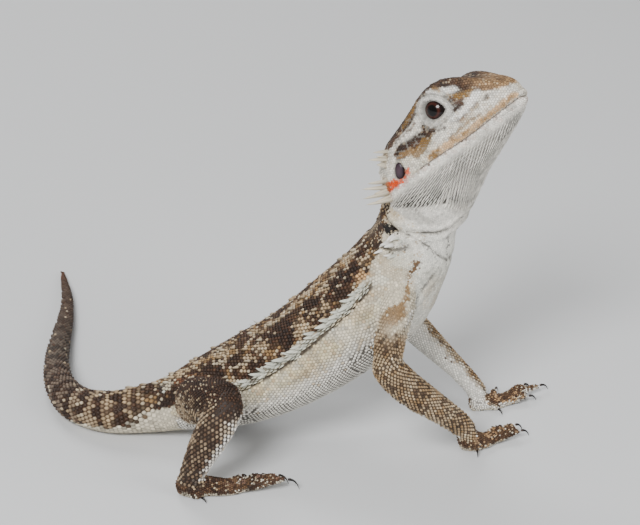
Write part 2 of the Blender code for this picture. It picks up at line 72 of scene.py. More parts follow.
# %% [markdown]
# ## A place to work
# Everything is measured in millimetres while we think about it, and turned into metres when a mesh
# is made. A few helpers move numbers in and out of Blender in one go, which is far quicker than a
# loop over single vertices.

# %% Helpers for meshes
def fetch(items, key, columns, number=np.float32):
    """One property of many items of a mesh as an array with a row for each item."""
    flat = np.empty(len(items) * columns, number)
    items.foreach_get(key, flat)
    return flat.reshape(-1, columns)


def points_of(mesh):
    """The vertices of a mesh as an array, in millimetres."""
    return fetch(mesh.vertices, "co", 3).astype(float) / MM


def triangles_in(mesh):
    """How many triangles the faces of a mesh make."""
    return sum(len(p.vertices) - 2 for p in mesh.polygons)


def new_piece(name, mesh):
    piece = bpy.data.objects.new(name, mesh)
    bpy.context.scene.collection.objects.link(piece)
    return piece


def store(mesh, name, kind, domain, values):
    """Writes one attribute of a mesh from an array."""
    layer = mesh.attributes.get(name) or mesh.attributes.new(name, kind, domain)
    key = {"FLOAT": "value", "INT": "value", "FLOAT_COLOR": "color", "FLOAT_VECTOR": "vector"}[kind]
    layer.data.foreach_set(key, np.asarray(values, np.float32 if kind != "INT" else np.int32).ravel())


def unit(v):
    return v / np.maximum(np.linalg.norm(v, axis=-1, keepdims=True), 1e-9)


def ease(low, high, x):
    """0 below low, 1 above high, and an easy slope between them."""
    t = np.clip((np.asarray(x, float) - low) / (high - low), 0, 1)
    return t * t * (3 - 2 * t)


# %% [markdown]
# ## The lines that the body follows
# Scales lie along the animal as roof tiles lie down a roof, so we need to know which way is "back
# towards the tail" everywhere. A line runs through the body from tail tip to neck, and one through
# each leg. The head has a frame of its own, found from the two eyeballs.

# %% Body line and leg lines
BODY_ROWS = np.array([  # x, y, z of the line, in mm, from the tail tip to the neck
    (-55.7, 52.5, 0.4), (-54.4, 45.5, 0.8), (-52.5, 35.5, 1.2), (-51.6, 24.0, 1.6), (-51.4, 12.0, 2.1),
    (-50.7, 0.5, 2.5), (-48.4, -10.5, 3.0), (-43.7, -19.4, 3.6), (-36.6, -23.5, 4.2), (-28.6, -23.9, 5.2),
    (-22.6, -24.4, 7.0), (-17.1, -24.8, 9.1), (-7.7, -25.0, 12.9), (2.5, -25.0, 18.3), (11.4, -25.0, 25.2),
    (18.9, -25.0, 32.1), (23.3, -25.0, 39.4), (25.9, -25.0, 46.0), (26.9, -25.0, 53.0),
])
LEG_ROWS = {
    "arm_right": [(21.5, -29.0, 37.6), (22.3, -34.6, 35.4), (21.1, -38.0, 30.6), (20.0, -39.9, 24.9),
                  (23.2, -38.8, 19.0), (27.7, -37.0, 14.4), (31.9, -34.8, 10.2), (35.3, -32.6, 6.4),
                  (37.5, -31.1, 2.8), (41.0, -29.5, 1.6), (51.0, -24.5, 1.2)],
    "arm_left": [(21.5, -21.0, 37.6), (22.3, -15.4, 35.4), (21.7, -12.2, 30.6), (21.4, -10.5, 24.4),
                 (26.0, -11.2, 18.4), (30.9, -12.3, 13.5), (35.5, -13.4, 9.2), (38.9, -14.3, 5.6),
                 (41.0, -14.5, 2.8), (45.0, -13.1, 1.6), (54.0, -12.5, 1.2)],
    "leg_right": [(-18.1, -27.0, 9.4), (-17.1, -34.0, 12.4), (-14.5, -41.0, 16.6), (-11.1, -47.3, 19.0),
                  (-13.2, -48.9, 14.8), (-15.5, -49.3, 10.4), (-17.7, -49.2, 5.6), (-18.4, -49.0, 3.0),
                  (-13.0, -48.3, 2.0), (-9.7, -47.8, 1.6), (2.0, -46.5, 1.6)],
    "leg_left": [(-18.1, -23.0, 7.6), (-16.3, -16.4, 7.2), (-12.1, -10.6, 6.9), (-8.7, -5.5, 6.4),
                 (-12.1, -3.1, 5.2), (-16.3, -3.8, 4.2), (-19.7, -5.2, 3.2), (-21.0, -5.5, 2.4),
                 (-17.0, -3.7, 1.8), (-13.3, -1.4, 1.6), (-3.0, 4.5, 1.6)],
}


def smooth_line(rows, steps=24):
    """Points on a smooth curve through the rows, and the row number (with its fraction) of each."""
    rows = np.asarray(rows, float)
    last = len(rows) - 1
    share = np.linspace(0, last, last * steps + 1)
    i = np.minimum(share.astype(int), last - 1)
    t = (share - i)[:, None]
    a, b, c, d = (rows[np.clip(i + k, 0, last)] for k in (-1, 0, 1, 2))
    return b + 0.5 * t * (c - a + t * (2 * a - 5 * b + 4 * c - d + t * (3 * (b - c) + d - a))), share


class Line:
    """A curve through the body that can say, for any point, how far along and how far round it is."""

    def __init__(self, rows):
        self.points, self.share = smooth_line(rows)
        self.tangent = unit(np.gradient(self.points, axis=0))
        self.tree = KDTree(len(self.points))
        for k, p in enumerate(self.points):
            self.tree.insert(p, k)
        self.tree.balance()

    def nearest(self, points):
        return np.array([self.tree.find(p)[1] for p in points])


body_line = Line(BODY_ROWS)
leg_lines = {name: Line(rows) for name, rows in LEG_ROWS.items()}
print("body line:", len(body_line.points), "points; legs:", ", ".join(leg_lines))

# %% Head frame
EYE_IN_HEAD = np.array((12.2, 5.35, 7.5))  # mm: ahead of the ears, beside the middle, above the mouth
HEAD_YAW, HEAD_PITCH, HEAD_ROLL = (math.radians(a) for a in (20, 45.5, 15))


def box_middle(name):
    low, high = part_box(name)
    return np.array((low + high) / 2) / MM


cp, sp, cy, sy = math.cos(HEAD_PITCH), math.sin(HEAD_PITCH), math.cos(HEAD_YAW), math.sin(HEAD_YAW)
head_ahead = np.array((cp * cy, -cp * sy, sp))
level_left = np.array((sy, cy, 0))
head_up = np.cross(head_ahead, level_left) * math.cos(HEAD_ROLL) + level_left * math.sin(HEAD_ROLL)
head_left = np.cross(head_up, head_ahead)
head_axes = np.stack((head_ahead, head_left, head_up))
eyes_middle = (box_middle("eye_left") + box_middle("eye_right")) / 2
head_origin = eyes_middle - head_axes.T @ (EYE_IN_HEAD * (1, 0, 1))


def to_head(points):
    return (np.asarray(points) - head_origin) @ head_axes.T


def from_head(points):
    return np.asarray(points) @ head_axes + head_origin


def mirrored(q):
    """Points of the head's frame folded onto its left side."""
    return np.abs(q * (0, 1, 0)) + q * (1, 0, 1)


def on_own_side(place, q):
    """A place on the left of the head, mirrored for each point of q that is on its right."""
    return place * np.where(q[:, 1:2] < 0, (1, -1, 1), (1, 1, 1))


def eye_distance(q):
    return np.linalg.norm(mirrored(q) - EYE_IN_HEAD, axis=1)


print("eyes", np.round(np.linalg.norm(box_middle("eye_left") - box_middle("eye_right")), 2), "mm apart")

# %% [markdown]
# ## One skin from many solids
# The solids are cut apart by thin gaps. A voxel remesh pours them into one closed surface: we swell
# each solid until the gaps close, remesh, even out the facets, and then draw the surface in again,
# further than it was swollen, so that the coat of scales has room inside the first outline.

# %% Join and remesh the flesh
SWELL = 0.25  # mm, closes the gaps between the solids
VOXEL = 0.58
SOCKET_FILL = 3.1  # mm, radius of the ball that fills each eye socket
SPIKE_TIP = 0.09  # mm, edges this short are found only at the tip of a spike
FLESH = sorted(n for n in nodes if not n.startswith(("eye", "eardrum", "claw")))


def joined_flesh():
    """All flesh solids in one mesh, swollen, with the name of the solid each face came from."""
    whole, owners = bmesh.new(), []
    for name in FLESH:
        part = bmesh.new()
        part.from_mesh(nodes[name].data)
        bmesh.ops.remove_doubles(part, verts=part.verts, dist=1e-6)
        if name in ("head", "lower_jaw"):  # the long spikes come back later, as pieces of their own
            tips = [v for v in part.verts if min(e.calc_length() for e in v.link_edges) < SPIKE_TIP * MM]
            bmesh.ops.dissolve_verts(part, verts=tips)
        part.normal_update()
        for v in part.verts:
            v.co += v.normal * SWELL * MM
        copy = bpy.data.meshes.new("swollen")
        part.to_mesh(copy)
        part.free()
        before = len(whole.faces)
        whole.from_mesh(copy)
        owners += [name] * (len(whole.faces) - before)
        bpy.data.meshes.remove(copy)
    for side in (-1, 1):
        at = Matrix.Translation(Vector(from_head(EYE_IN_HEAD * (1, side, 1))) * MM)
        before = len(whole.faces)
        bmesh.ops.create_icosphere(whole, subdivisions=3, radius=(SOCKET_FILL + SWELL) * MM, matrix=at)
        owners += ["head"] * (len(whole.faces) - before)
    return whole, owners


flesh, owner_of_face = joined_flesh()
flesh_tree = BVHTree.FromBMesh(flesh)
flesh_mesh = bpy.data.meshes.new("flesh")
flesh.to_mesh(flesh_mesh)
flesh.free()
flesh_object = new_piece("flesh", flesh_mesh)
remesh = flesh_object.modifiers.new("pour", "REMESH")
remesh.mode, remesh.voxel_size = "VOXEL", VOXEL * MM
poured = bpy.data.meshes.new_from_object(flesh_object.evaluated_get(bpy.context.evaluated_depsgraph_get()))
bpy.data.objects.remove(flesh_object)
print("poured skin:", len(poured.vertices), "vertices")

# %% Keep the outer shell and split the head finer
HEAD_BACK, HEAD_REACH = -13.5, 14.0  # mm in the head's frame: how far back and out the fine mesh goes
LID_REACH = 4.6  # mm round each eye where the mesh is split once more
FOLD_REACH = 0.8  # mm to each side of the folds of the neck, where it is also split once more
# Folds of the neck: their line on the near side in the head's frame, the same round the body as (row,
# angle), then how deep they are, how far they bulge beside it and how wide they are, in mm.
NECK_FOLDS = (
    (((-10.1, 5.5, -0.9), (-10.0, 6.7, -2.6), (-9.5, 7.7, -4.5), (-8.7, 7.8, -6.2), (-7.2, 7.5, -7.7),
      (-5.3, 6.5, -9.4), (-3.7, 4.7, -10.7), (-2.5, 3.2, -11.2), (-1.2, 1.3, -11.1), (-0.6, 0.0, -10.6)),
     ((17.54, 75), (17.46, 61), (17.33, 45), (17.29, 32), (17.33, 16), (17.38, -4), (17.42, -24),
      (17.46, -37), (17.58, -52), (17.75, -90)), 0.75, 0.45, 0.24),
    (((-9.3, 8.0, -5.3), (-8.2, 7.8, -7.0), (-7.1, 7.9, -8.8), (-6.7, 6.9, -10.4), (-6.7, 5.1, -12.5),
      (-7.2, 3.3, -14.4), (-7.9, 0.0, -15.8)),
     ((17.33, 39), (17.29, 25), (17.25, 11), (17.17, -2), (17.04, -19), (16.83, -34), (16.7, -90)),
     0.45, 0.12, 0.20),
    (((-13.4, 8.4, -6.0), (-13.2, 8.5, -7.0), (-12.3, 8.6, -8.2), (-11.1, 8.3, -9.1), (-9.6, 7.9, -9.6)),
     ((16.62, 49), (16.58, 43), (16.62, 33), (16.75, 24), (16.92, 16)), 0.45, 0.25, 0.30),
    (((-2.9, 3.0, -11.7), (-4.2, 1.6, -12.5), (-5.2, 1.3, -13.4), (-6.2, 1.6, -14.2)),
     ((17.42, -38), (17.21, -47), (17.08, -48), (16.96, -46)), 0.30, 0.10, 0.20),
)


def path_distance(points, path):
    """Distance from points to a broken line, in two or three dimensions."""
    best = np.full(len(points), 1e9)
    path = np.asarray(path, float)
    for a, b in zip(path, path[1:]):
        d = b - a
        t = np.clip((points - a) @ d / max(d @ d, 1e-9), 0, 1)
        best = np.minimum(best, np.linalg.norm(points - a - t[:, None] * d, axis=1))
    return best


def outer_shell(bm):
    """Drops every closed surface but the biggest, such as a bubble left between two solids."""
    seen, biggest = set(), []
    for start in bm.verts:
        if start in seen:
            continue
        seen.add(start)
        shell, queue = [start], deque((start,))
        while queue:
            for edge in queue.popleft().link_edges:
                for v in edge.verts:
                    if v not in seen:
                        seen.add(v)
                        shell.append(v)
                        queue.append(v)
        if len(shell) > len(biggest):
            biggest = shell
    keep = set(biggest)
    bmesh.ops.delete(bm, geom=[v for v in bm.verts if v not in keep], context="VERTS")


def split_where(bm, wanted):
    """Halves every edge whose two ends are wanted, and keeps the faces round them small."""
    bm.verts.index_update()
    fine = wanted(to_head(np.array([v.co for v in bm.verts]) / MM))
    edges = [e for e in bm.edges if fine[e.verts[0].index] and fine[e.verts[1].index]]
    bmesh.ops.subdivide_edges(bm, edges=edges, cuts=1, use_grid_fill=True)
    bmesh.ops.triangulate(bm, faces=[f for f in bm.faces if len(f.verts) > 4])


def on_head(q):
    return (q[:, 0] > HEAD_BACK) & (np.abs(q[:, 1:]).max(1) < HEAD_REACH)


def near_lids(q):
    return eye_distance(q) < LID_REACH


def near_fold(q):
    return np.min([path_distance(mirrored(q), fold[0]) for fold in NECK_FOLDS], axis=0) < FOLD_REACH


bm = bmesh.new()
bm.from_mesh(poured)
outer_shell(bm)
print("outer shell:", len(bm.verts), "vertices")
for place_is_fine in (on_head, near_lids, near_fold):
    split_where(bm, place_is_fine)
bmesh.ops.recalc_face_normals(bm, faces=bm.faces)
skin_mesh = bpy.data.meshes.new("skin")
bm.to_mesh(skin_mesh)
bm.free()
bpy.data.meshes.remove(poured)
print("skin:", len(skin_mesh.vertices), "vertices,", triangles_in(skin_mesh), "triangles")

# %% Where each vertex belongs
P = points_of(skin_mesh)
found = [flesh_tree.find_nearest(Vector(p) * MM)[2] for p in P]
owner = np.array(owner_of_face)[found]
LEGS = {
    "arm_right": ("upper_arm_right", "forearm_right", "hand_right"),
    "arm_left": ("upper_arm_left", "forearm_left", "hand_left"),
    "leg_right": ("thigh_right", "shin_right", "foot_right"),
    "leg_left": ("thigh_left", "shin_left", "foot_left"),
}
leg_of = np.full(len(P), "", dtype="U12")
for leg, parts in LEGS.items():
    leg_of[np.isin(owner, parts)] = leg
is_head = np.isin(owner, ("head", "lower_jaw"))
is_foot = np.char.startswith(owner, "hand") | np.char.startswith(owner, "foot")
is_tail = np.char.startswith(owner, "tail")
print({name: int((owner == name).sum()) for name in ("head", "trunk", "tail_base", "hand_right")})

# %% Even out the facets
SMOOTH_ROUNDS = 36
NAPE_ROUNDS = 60  # where the head meets the neck
SMOOTH_IN, SMOOTH_OUT = 0.52, -0.54  # a shrinking step and a slightly stronger swelling one

edge_ends = fetch(skin_mesh.edges, "vertices", 2, np.int32)
degree = np.bincount(edge_ends.ravel(), minlength=len(P))


def neighbour_mean(values):
    """The mean of each vertex's neighbours, for an array with one row a vertex."""
    a, b = edge_ends.T
    total = np.stack([
        np.bincount(a, values[b, k], len(values)) + np.bincount(b, values[a, k], len(values))
        for k in range(values.shape[1])
    ], axis=1)
    return total / degree[:, None]


def calm(points, rounds, weight=1.0):
    """Smooths a surface without shrinking it: it steps in, then steps out again."""
    for step in (SMOOTH_IN, SMOOTH_OUT) * rounds:
        points = points + step * weight * (neighbour_mean(points) - points)
    return points


def normals_of(points):
    """Moves the skin to these points (mm) and gives its vertex normals."""
    skin_mesh.vertices.foreach_set("co", (points * MM).astype(np.float32).ravel())
    skin_mesh.update()
    return fetch(skin_mesh.vertex_normals, "vector", 3).astype(float)


def settle(points, rounds, weight):
    """Plain averaging, which fills hollows and rounds off ridges where weight is 1."""
    for _ in range(rounds):
        points = points + 0.5 * weight[:, None] * (neighbour_mean(points) - points)
    return points


P = calm(P, SMOOTH_ROUNDS)
Q = to_head(P)
nape = ease(-1.0, -4.0, Q[:, 0]) * ease(16.0, 11.0, np.linalg.norm(Q - (-6, 0, -2), axis=1))
P = settle(P, NAPE_ROUNDS, nape)
N = normals_of(P)
COAT_DEPTH = {"foot": 0.08, "leg": 0.16, "tail": 0.18, "head": 0.12, "trunk": 0.22}  # mm
*depth_of_parts, depth_of_trunk = COAT_DEPTH.values()
depth = np.select([is_foot, leg_of != "", is_tail, is_head], depth_of_parts, depth_of_trunk)
P = P - N * (SWELL + neighbour_mean(depth[:, None]))
print("skin drawn in by", COAT_DEPTH, "mm")

# %% [markdown]
# ## Lids, mouth, ears and folds
# The head is what we look at first, so its forms are cut into the skin itself and don't depend on
# the scales: the almond opening between the lids, the long closed mouth, the pit of each nostril,
# the ear openings, and the creases where the throat pouch hangs over the neck.

# %% Where things are on the head
GAZE = unit(np.array((-0.09, 1.0, 0.07)))  # out of the left eye, in the head's frame
EYEBALL = 2.8  # mm
OPEN_BACK, OPEN_FRONT, OPEN_HIGH = 2.25, 2.5, 1.88  # mm from the middle of the opening to its rims
OPEN_SHIFT = 0.38  # mm: how far behind the middle of the eyeball the opening lies
OPEN_ALONG, OPEN_UP = np.array((0.84, 0.0, -0.54)), np.array((0.54, 0.0, 0.84))
MOUTH_X = (0.5, 3.0, 7.0, 11.0, 15.0, 19.0, 23.0, 25.6)
MOUTH_Z = (0.25, 0.0, -0.1, -0.4, -0.6, -0.45, -0.3, 0.0)
NOSTRIL = np.array((21.2, 4.7, 3.5))
EAR = np.array((0.35, 10.7, 2.3))
EAR_LONG, EAR_WIDE = 1.6, 0.95  # half axes of the ear opening
EAR_UP, EAR_ACROSS = np.array((0.6, 0.0, 0.8)), np.array((0.8, 0.0, -0.6))


def opening(q):
    """How far a point is from the pupil, in shares of the lid opening: 1 is the rim of the lids."""
    d = mirrored(q) - EYE_IN_HEAD
    u, v = d @ OPEN_ALONG + OPEN_SHIFT, d @ OPEN_UP
    front = u > 0
    u = np.abs(u) / np.where(front, OPEN_FRONT, OPEN_BACK)
    power = np.where(front, 1.6, 2.0)
    share = (u ** power + (np.abs(v) / OPEN_HIGH) ** power) ** (1 / power)
    return np.where(d @ GAZE > 0, share, 9.0)


def ear_share(q):
    d = mirrored(q) - EAR
    share = np.sqrt((d @ EAR_UP / EAR_LONG) ** 2 + (d @ EAR_ACROSS / EAR_WIDE) ** 2)
    return np.where(np.abs(d[:, 1]) < 2.5, share, 9.0)


def bump(x, width):
    return np.exp(-(x / width) ** 2)


# %% Body coordinates
def body_coordinates(points):
    """Row number along the body, degrees above the flank (90 is the back), radius, and the tangent."""
    k = body_line.nearest(points)
    tangent = body_line.tangent[k]
    side = unit(np.cross((0, 0, 1), tangent))
    up = np.cross(tangent, side)
    arm = points - body_line.points[k]
    high, out = (arm * up).sum(1), (arm * side).sum(1)
    return body_line.share[k], np.degrees(np.arctan2(high, np.abs(out))), np.hypot(high, out), tangent


along, phi, radius, body_tangent = body_coordinates(P)
print("trunk radius", np.round(radius[owner == "trunk"].max(), 1), "mm")

# %% Cut the forms into the skin
ROW_LENGTH, NECK_RADIUS = 7.0, 8.4  # mm
MIDDLE_Y = -25.0  # mm: the plane that halves the trunk
LID_SHARE = 2.4  # how far the lids reach, in shares of their opening
# The dark line along the flank, a crease with painted shadow: rows along the body, and degrees above the
# flank at each of them.
LINE_ROW = (11.6, 12.2, 12.9, 13.6, 14.3, 15.0, 15.5)
LINE_PHI = (15.0, 16.5, 21.0, 22.5, 26.0, 28.5, 29.0)
# Streaks on the shoulder, in mm: a fold from the side of the neck down the front of the arm, and a
# brown streak from the neck down its outer side.
CHEST_FOLD = ((29.1, -32.6, 39.7), (27.3, -33.5, 37.5), (25.8, -34.5, 35.3), (25.1, -36.9, 33.9),
              (23.6, -39.7, 31.9), (22.4, -41.0, 30.0), (21.6, -41.9, 27.4))
ARM_STREAK = ((26.0, -33.7, 43.2), (24.8, -34.1, 41.4), (23.9, -34.7, 39.4), (23.9, -36.4, 37.6),
              (23.0, -38.2, 36.5), (21.5, -39.2, 35.0), (19.7, -39.6, 33.2), (18.5, -39.9, 30.7),
              (17.7, -39.7, 27.9))


def fold_distance(in_space, round_body):
    """Distance in mm to one fold of the neck: in space on the near side, round the body on the far side."""
    flat_path = [(row * ROW_LENGTH, math.radians(angle) * NECK_RADIUS) for row, angle in round_body]
    flat_place = np.c_[along * ROW_LENGTH, np.radians(phi) * NECK_RADIUS]
    return np.where(Q[:, 1] < 0, path_distance(M, in_space), path_distance(flat_place, flat_path))


Q = to_head(P)
M = mirrored(Q)
N = normals_of(P)
eye_at = from_head(on_own_side(EYE_IN_HEAD, Q))
share = opening(Q)
ray = P - eye_at
reach = np.linalg.norm(ray, axis=1)
near_eye = (share < LID_SHARE) & (reach < LID_REACH)
inner = ease(1.12, 0.98, share)
rim = 0.20 * bump(share - 1.2, 0.13) - 0.13 * bump(share - 1.62, 0.09)
target = (reach * (1 - inner) + np.minimum(reach, EYEBALL - 0.5) * inner) + rim
P = np.where(near_eye[:, None], eye_at + ray / reach[:, None] * target[:, None], P)

mouth_z = np.interp(M[:, 0], MOUTH_X, MOUTH_Z)
on_face = is_head & (M[:, 0] > 0.5)
groove = 0.42 * bump(M[:, 2] - mouth_z, 0.24) * ease(0.8, 4.0, M[:, 0])
lips = 0.14 * bump(M[:, 2] - mouth_z - 0.75, 0.4) * ease(5.0, 9.0, M[:, 0])
pit = 0.55 * bump(np.linalg.norm(M - NOSTRIL, axis=1), 0.42)
swelling = 0.18 * bump(np.linalg.norm(M - NOSTRIL, axis=1) - 0.75, 0.4)
ear = ear_share(Q)
drum = 0.75 * ease(1.05, 0.8, ear) - 0.15 * bump(ear - 1.25, 0.2)
P = P + N * np.where(on_face, lips + swelling - groove - pit, 0)[:, None]
P = P - N * np.where(is_head, drum, 0)[:, None]
neck_skin = np.isin(owner, ("neck", "trunk", "lower_jaw", "head"))
fold_near = [fold_distance(*fold[:2]) for fold in NECK_FOLDS]
for near, (_, _, fold_depth, bulge, width) in zip(fold_near, NECK_FOLDS):
    crease = fold_depth * bump(near, width) - bulge * bump(near - 1.2, 0.7)
    P = P - N * np.where(neck_skin, crease, 0)[:, None]
folded = np.c_[P[:, 0], MIDDLE_Y - np.abs(P[:, 1] - MIDDLE_Y), P[:, 2]]
chest_fold = path_distance(folded, CHEST_FOLD)
arm_streak = path_distance(folded, ARM_STREAK)
from_line = np.radians(phi - np.interp(along, LINE_ROW, LINE_PHI)) * radius  # mm above the flank's dark line
on_line = (owner == "trunk") * ease(11.5, 11.9, along) * ease(15.8, 15.4, along)
P = P - N * (0.3 * bump(chest_fold, 0.5) - 0.15 * bump(chest_fold - 1.2, 0.6))[:, None]
P = P - N * (on_line * (0.35 * bump(from_line, 0.45) - 0.30 * bump(from_line - 1.3, 0.8)))[:, None]
N = normals_of(P)
print("eye opening", OPEN_BACK + OPEN_FRONT, "by", 2 * OPEN_HIGH, "mm")
print("mouth", MOUTH_X[-1] - MOUTH_X[0], "mm long")

# %% [markdown]
# ## Which way the scales lie
# Each vertex gets a direction of lie: towards the tail on the body, towards the toes on the legs,
# back and a little down on the beard. Averaging with the neighbours blends one into the next.

# %% Lie of the scales
LIE_ROUNDS = 12
back_of_head, down_of_head = -head_ahead, -head_up
lie = -body_tangent
leg_row = np.zeros(len(P))
leg_tangent = np.zeros_like(P)
for leg, line in leg_lines.items():
    mine = leg_of == leg
    k = line.nearest(P[mine])
    leg_row[mine] = line.share[k]
    leg_tangent[mine] = line.tangent[k]
lie = np.where((leg_of != "")[:, None], leg_tangent, lie)
beard_lie = unit(0.98 * back_of_head + 0.12 * down_of_head)
below = ease(0.5, -1.5, M[:, 2])[:, None]
head_lie = back_of_head * (1 - below) + beard_lie * below
lie = np.where(is_head[:, None], head_lie, lie)
for _ in range(LIE_ROUNDS):
    lie = unit(0.5 * lie + 0.5 * neighbour_mean(lie))
lie = unit(lie - N * (lie * N).sum(1, keepdims=True))
print("lie of the scales set on", len(lie), "vertices")

# %% [markdown]
# ## Markings
# The colours are painted from a small palette. Each marking is a mask between 0 and 1: a limit line
# along the body, a band across a leg, or a brush stroke between a few places on the head. The
# scales later take their colour from the skin at their root, so both wear the same pattern.

# %% Palette
def colour(code):
    """Linear red, green and blue of a hexadecimal colour."""
    parts = np.array([int(code[i:i + 2], 16) for i in (0, 2, 4)]) / 255
    return np.where(parts <= 0.04045, parts / 12.92, ((parts + 0.055) / 1.055) ** 2.4)


PALETTE = {name: colour(code) for name, code in {
    "white": "ECE9E2", "cream": "D2C8B2", "butter": "CFC197", "bone": "B59D7B", "tan": "8F7049",
    "gold": "7D5D2D", "umber": "49301F", "dark": "271A12", "black": "14100D", "rust": "643A22",
    "orange": "D84600", "peach": "CBA375", "grey": "96948C", "slate": "4A4640", "rose": "B58D7A",
    "taupe": "66574A", "olive": "6A5634", "chalk": "C9CABD",
}.items()}
paint = np.tile(PALETTE["cream"], (len(P), 1))
freckle = np.zeros(len(P))  # chance that a scale is dark, whatever colour it grows on
fleck = np.zeros(len(P))  # chance that it is pale


def brush(name, mask, layer=paint):
    """Lays one colour of the palette over a layer of paint where the mask says so."""
    mask = np.clip(np.asarray(mask, float), 0, 1)[:, None]
    layer[:] = layer * (1 - mask) + PALETTE[name] * mask


def sprinkle(dark_share, pale_share, mask):
    """Sets the chances of dark and of pale scales where the mask says so."""
    mask = np.clip(np.asarray(mask, float), 0, 1)
    freckle[:] = freckle * (1 - mask) + dark_share * mask
    fleck[:] = fleck * (1 - mask) + pale_share * mask


def mottle(points, size, seed, detail=2):
    """Soft blotches of about this size in mm, from -1 to 1."""
    shift = Vector((seed * 7.3, seed * 3.1, seed * 5.7))
    return np.array([noise.fractal(Vector(p) / size + shift, 0.9, 2.0, detail) for p in points])


fine_noise = mottle(P, 1.3, 1)
blotch = mottle(P, 3.4, 2)
broad = mottle(P, 8.0, 3)
print("palette of", len(PALETTE), "colours")

# %% Trunk and back
TAIL_ROW = 9.5  # row along the body where the tail ends and the trunk begins
# Where the dark back ends: rows along the body, and degrees above the flank at each of them.
LIMIT_ROW = (0, 5, 7, 8.0, 8.5, 9.1, 9.6, 10.6, 12.0, 13.5, 15.0, 15.6, 16.2, 17.0, 18.0)
LIMIT_PHI = (-75, -60, -40, -20, -4, 18, 24, 20, 25, 31, 37, 41, 46, 56, 62)
limit = np.interp(along, LIMIT_ROW, LIMIT_PHI)
above = phi - limit + 5 * blotch
on_body = (leg_of == "") & ~is_head
flank = on_body & (along > 10)
belly_grid = flank & (phi < 5) & (along < 15)  # skin shows as lines between the small square scales

brush("white", 0.75 * flank * ease(8, -8, phi))
brush("butter", 0.75 * flank * bump(phi - 13, 12) * ease(15.6, 14.8, along) * ease(-0.6, 0.1, broad + blotch))
brush("bone", 0.45 * flank * ease(0.0, 0.4, blotch) * ease(-12, 4, phi))
brush("grey", 0.40 * flank * ease(0.0, 0.4, mottle(P, 1.7, 16)) * ease(-16, 2, phi) * ease(15.6, 14.6, along))
brush("chalk", 0.5 * flank * ease(14.6, 15.8, along) * ease(46, 20, phi))
brush("bone", 0.35 * flank * ease(14.8, 15.4, along) * ease(16.6, 16.0, along) * ease(-0.1, 0.3, blotch))
brush("white", 0.5 * flank * ease(16.4, 17.0, along) * ease(46, 20, phi))
tail_root_spots = ease(10.0, 9.2, along) * ease(0.05, 0.3, mottle(P, 1.9, 18)) * bump(phi + 12, 24)
brush("slate", 0.6 * on_body * tail_root_spots)
sprinkle(0.0, 0.10, flank * ease(-20, -5, phi))
back = on_body * ease(-1.5, 2.5, above)
brush("tan", back)
brush("umber", back * ease(-0.45, 0.1, blotch + 0.5 * fine_noise))
brush("rust", 0.8 * back * ease(-0.1, 0.35, broad) * ease(-0.2, 0.3, blotch + 0.6 * fine_noise))
brush("dark", back * ease(0.05, 0.4, blotch + 0.3 * broad + 0.45 * fine_noise))
sprinkle(0.34, 0.32, back)
sprinkle(0.60, 0.12, back * ease(0.12, 0.4, blotch + 0.35 * broad))
sprinkle(0.14, 0.52, back * ease(0.1, 0.4, mottle(P, 2.2, 14) - 0.5 * broad) * ease(0.2, -0.1, blotch))
# A broken pale line along the backbone, and dark or pale spots beside it.
backbone = back * (along > TAIL_ROW) * bump(phi - 88, 9) * ease(-0.5, 0.1, blotch)
brush("bone", 0.6 * backbone)
sprinkle(0.16, 0.44, backbone)
BACK_RADIUS = 10.0  # mm, for sizes given round the body
body_length = np.concatenate(([0], np.cumsum(np.linalg.norm(np.diff(body_line.points, axis=0), axis=1))))
behind = np.interp(along, body_line.share, body_length)
BACK_SPOTS = (  # row along the body, angle, radius in mm, colour, chances of dark and of pale scales
    (15.9, 78, 2.2, "umber", 0.7, 0.1), (14.62, 64, 2.2, "dark", 0.85, 0.04),
    (14.72, 45, 2.2, "dark", 0.8, 0.06), (13.96, 67, 1.6, "dark", 0.8, 0.05),
    (13.15, 72, 2.6, "dark", 0.85, 0.04), (13.8, 71, 1.2, "dark", 0.8, 0.1),
    (13.85, 37, 1.4, "umber", 0.7, 0.1), (12.5, 32, 2.0, "umber", 0.75, 0.1),
    (12.1, 56, 1.8, "dark", 0.75, 0.1), (12.3, 84, 1.8, "umber", 0.8, 0.1),
    (11.4, 62, 2.0, "dark", 0.7, 0.1), (10.8, 62, 1.8, "rust", 0.6, 0.1),
    (16.85, 72, 1.5, "dark", 0.8, 0.1), (16.4, 66, 1.2, "dark", 0.7, 0.1),
    (15.5, 42, 2.3, "peach", 0.1, 0.3), (15.8, 58, 1.4, "bone", 0.1, 0.5),
    (14.25, 73, 1.3, "bone", 0.1, 0.5), (13.6, 48, 2.0, "bone", 0.15, 0.5),
    (14.2, 48, 1.5, "bone", 0.2, 0.5), (12.6, 55, 1.8, "bone", 0.15, 0.5),
    (11.8, 74, 1.5, "bone", 0.15, 0.5), (10.0, 68, 2.0, "chalk", 0.05, 0.7),
    (10.6, 80, 1.6, "bone", 0.15, 0.5),
)
for row, angle, spot, name, dark_share, pale_share in BACK_SPOTS:
    along_off = behind - np.interp(row, body_line.share, body_length)
    far_off = np.hypot(along_off, np.radians(phi - angle) * BACK_RADIUS) / spot
    spotted = back * ease(1.15, 0.75, far_off + 0.35 * fine_noise + 0.25 * blotch)
    brush(name, 0.85 * spotted)
    sprinkle(dark_share, pale_share, spotted)
# The pale band of thorns along the flank has a dark line under it, painted shadow in its crease, and faint
# lines below that.
band_here = on_line * ease(-0.2, 0.3, from_line) * ease(1.7, 1.1, from_line + 0.6 * fine_noise)
sprinkle(0.0, 0.0, band_here)
brush("chalk", 0.8 * band_here)
brush("grey", 0.5 * on_line * bump(from_line + 1.5 + blotch, 0.4) * ease(-0.1, 0.2, fine_noise))
brush("olive", 0.35 * on_line * bump(from_line + 2.9 + 1.5 * blotch, 0.5) * ease(-0.1, 0.3, blotch))
print("trunk painted, with", len(BACK_SPOTS), "spots on the back")

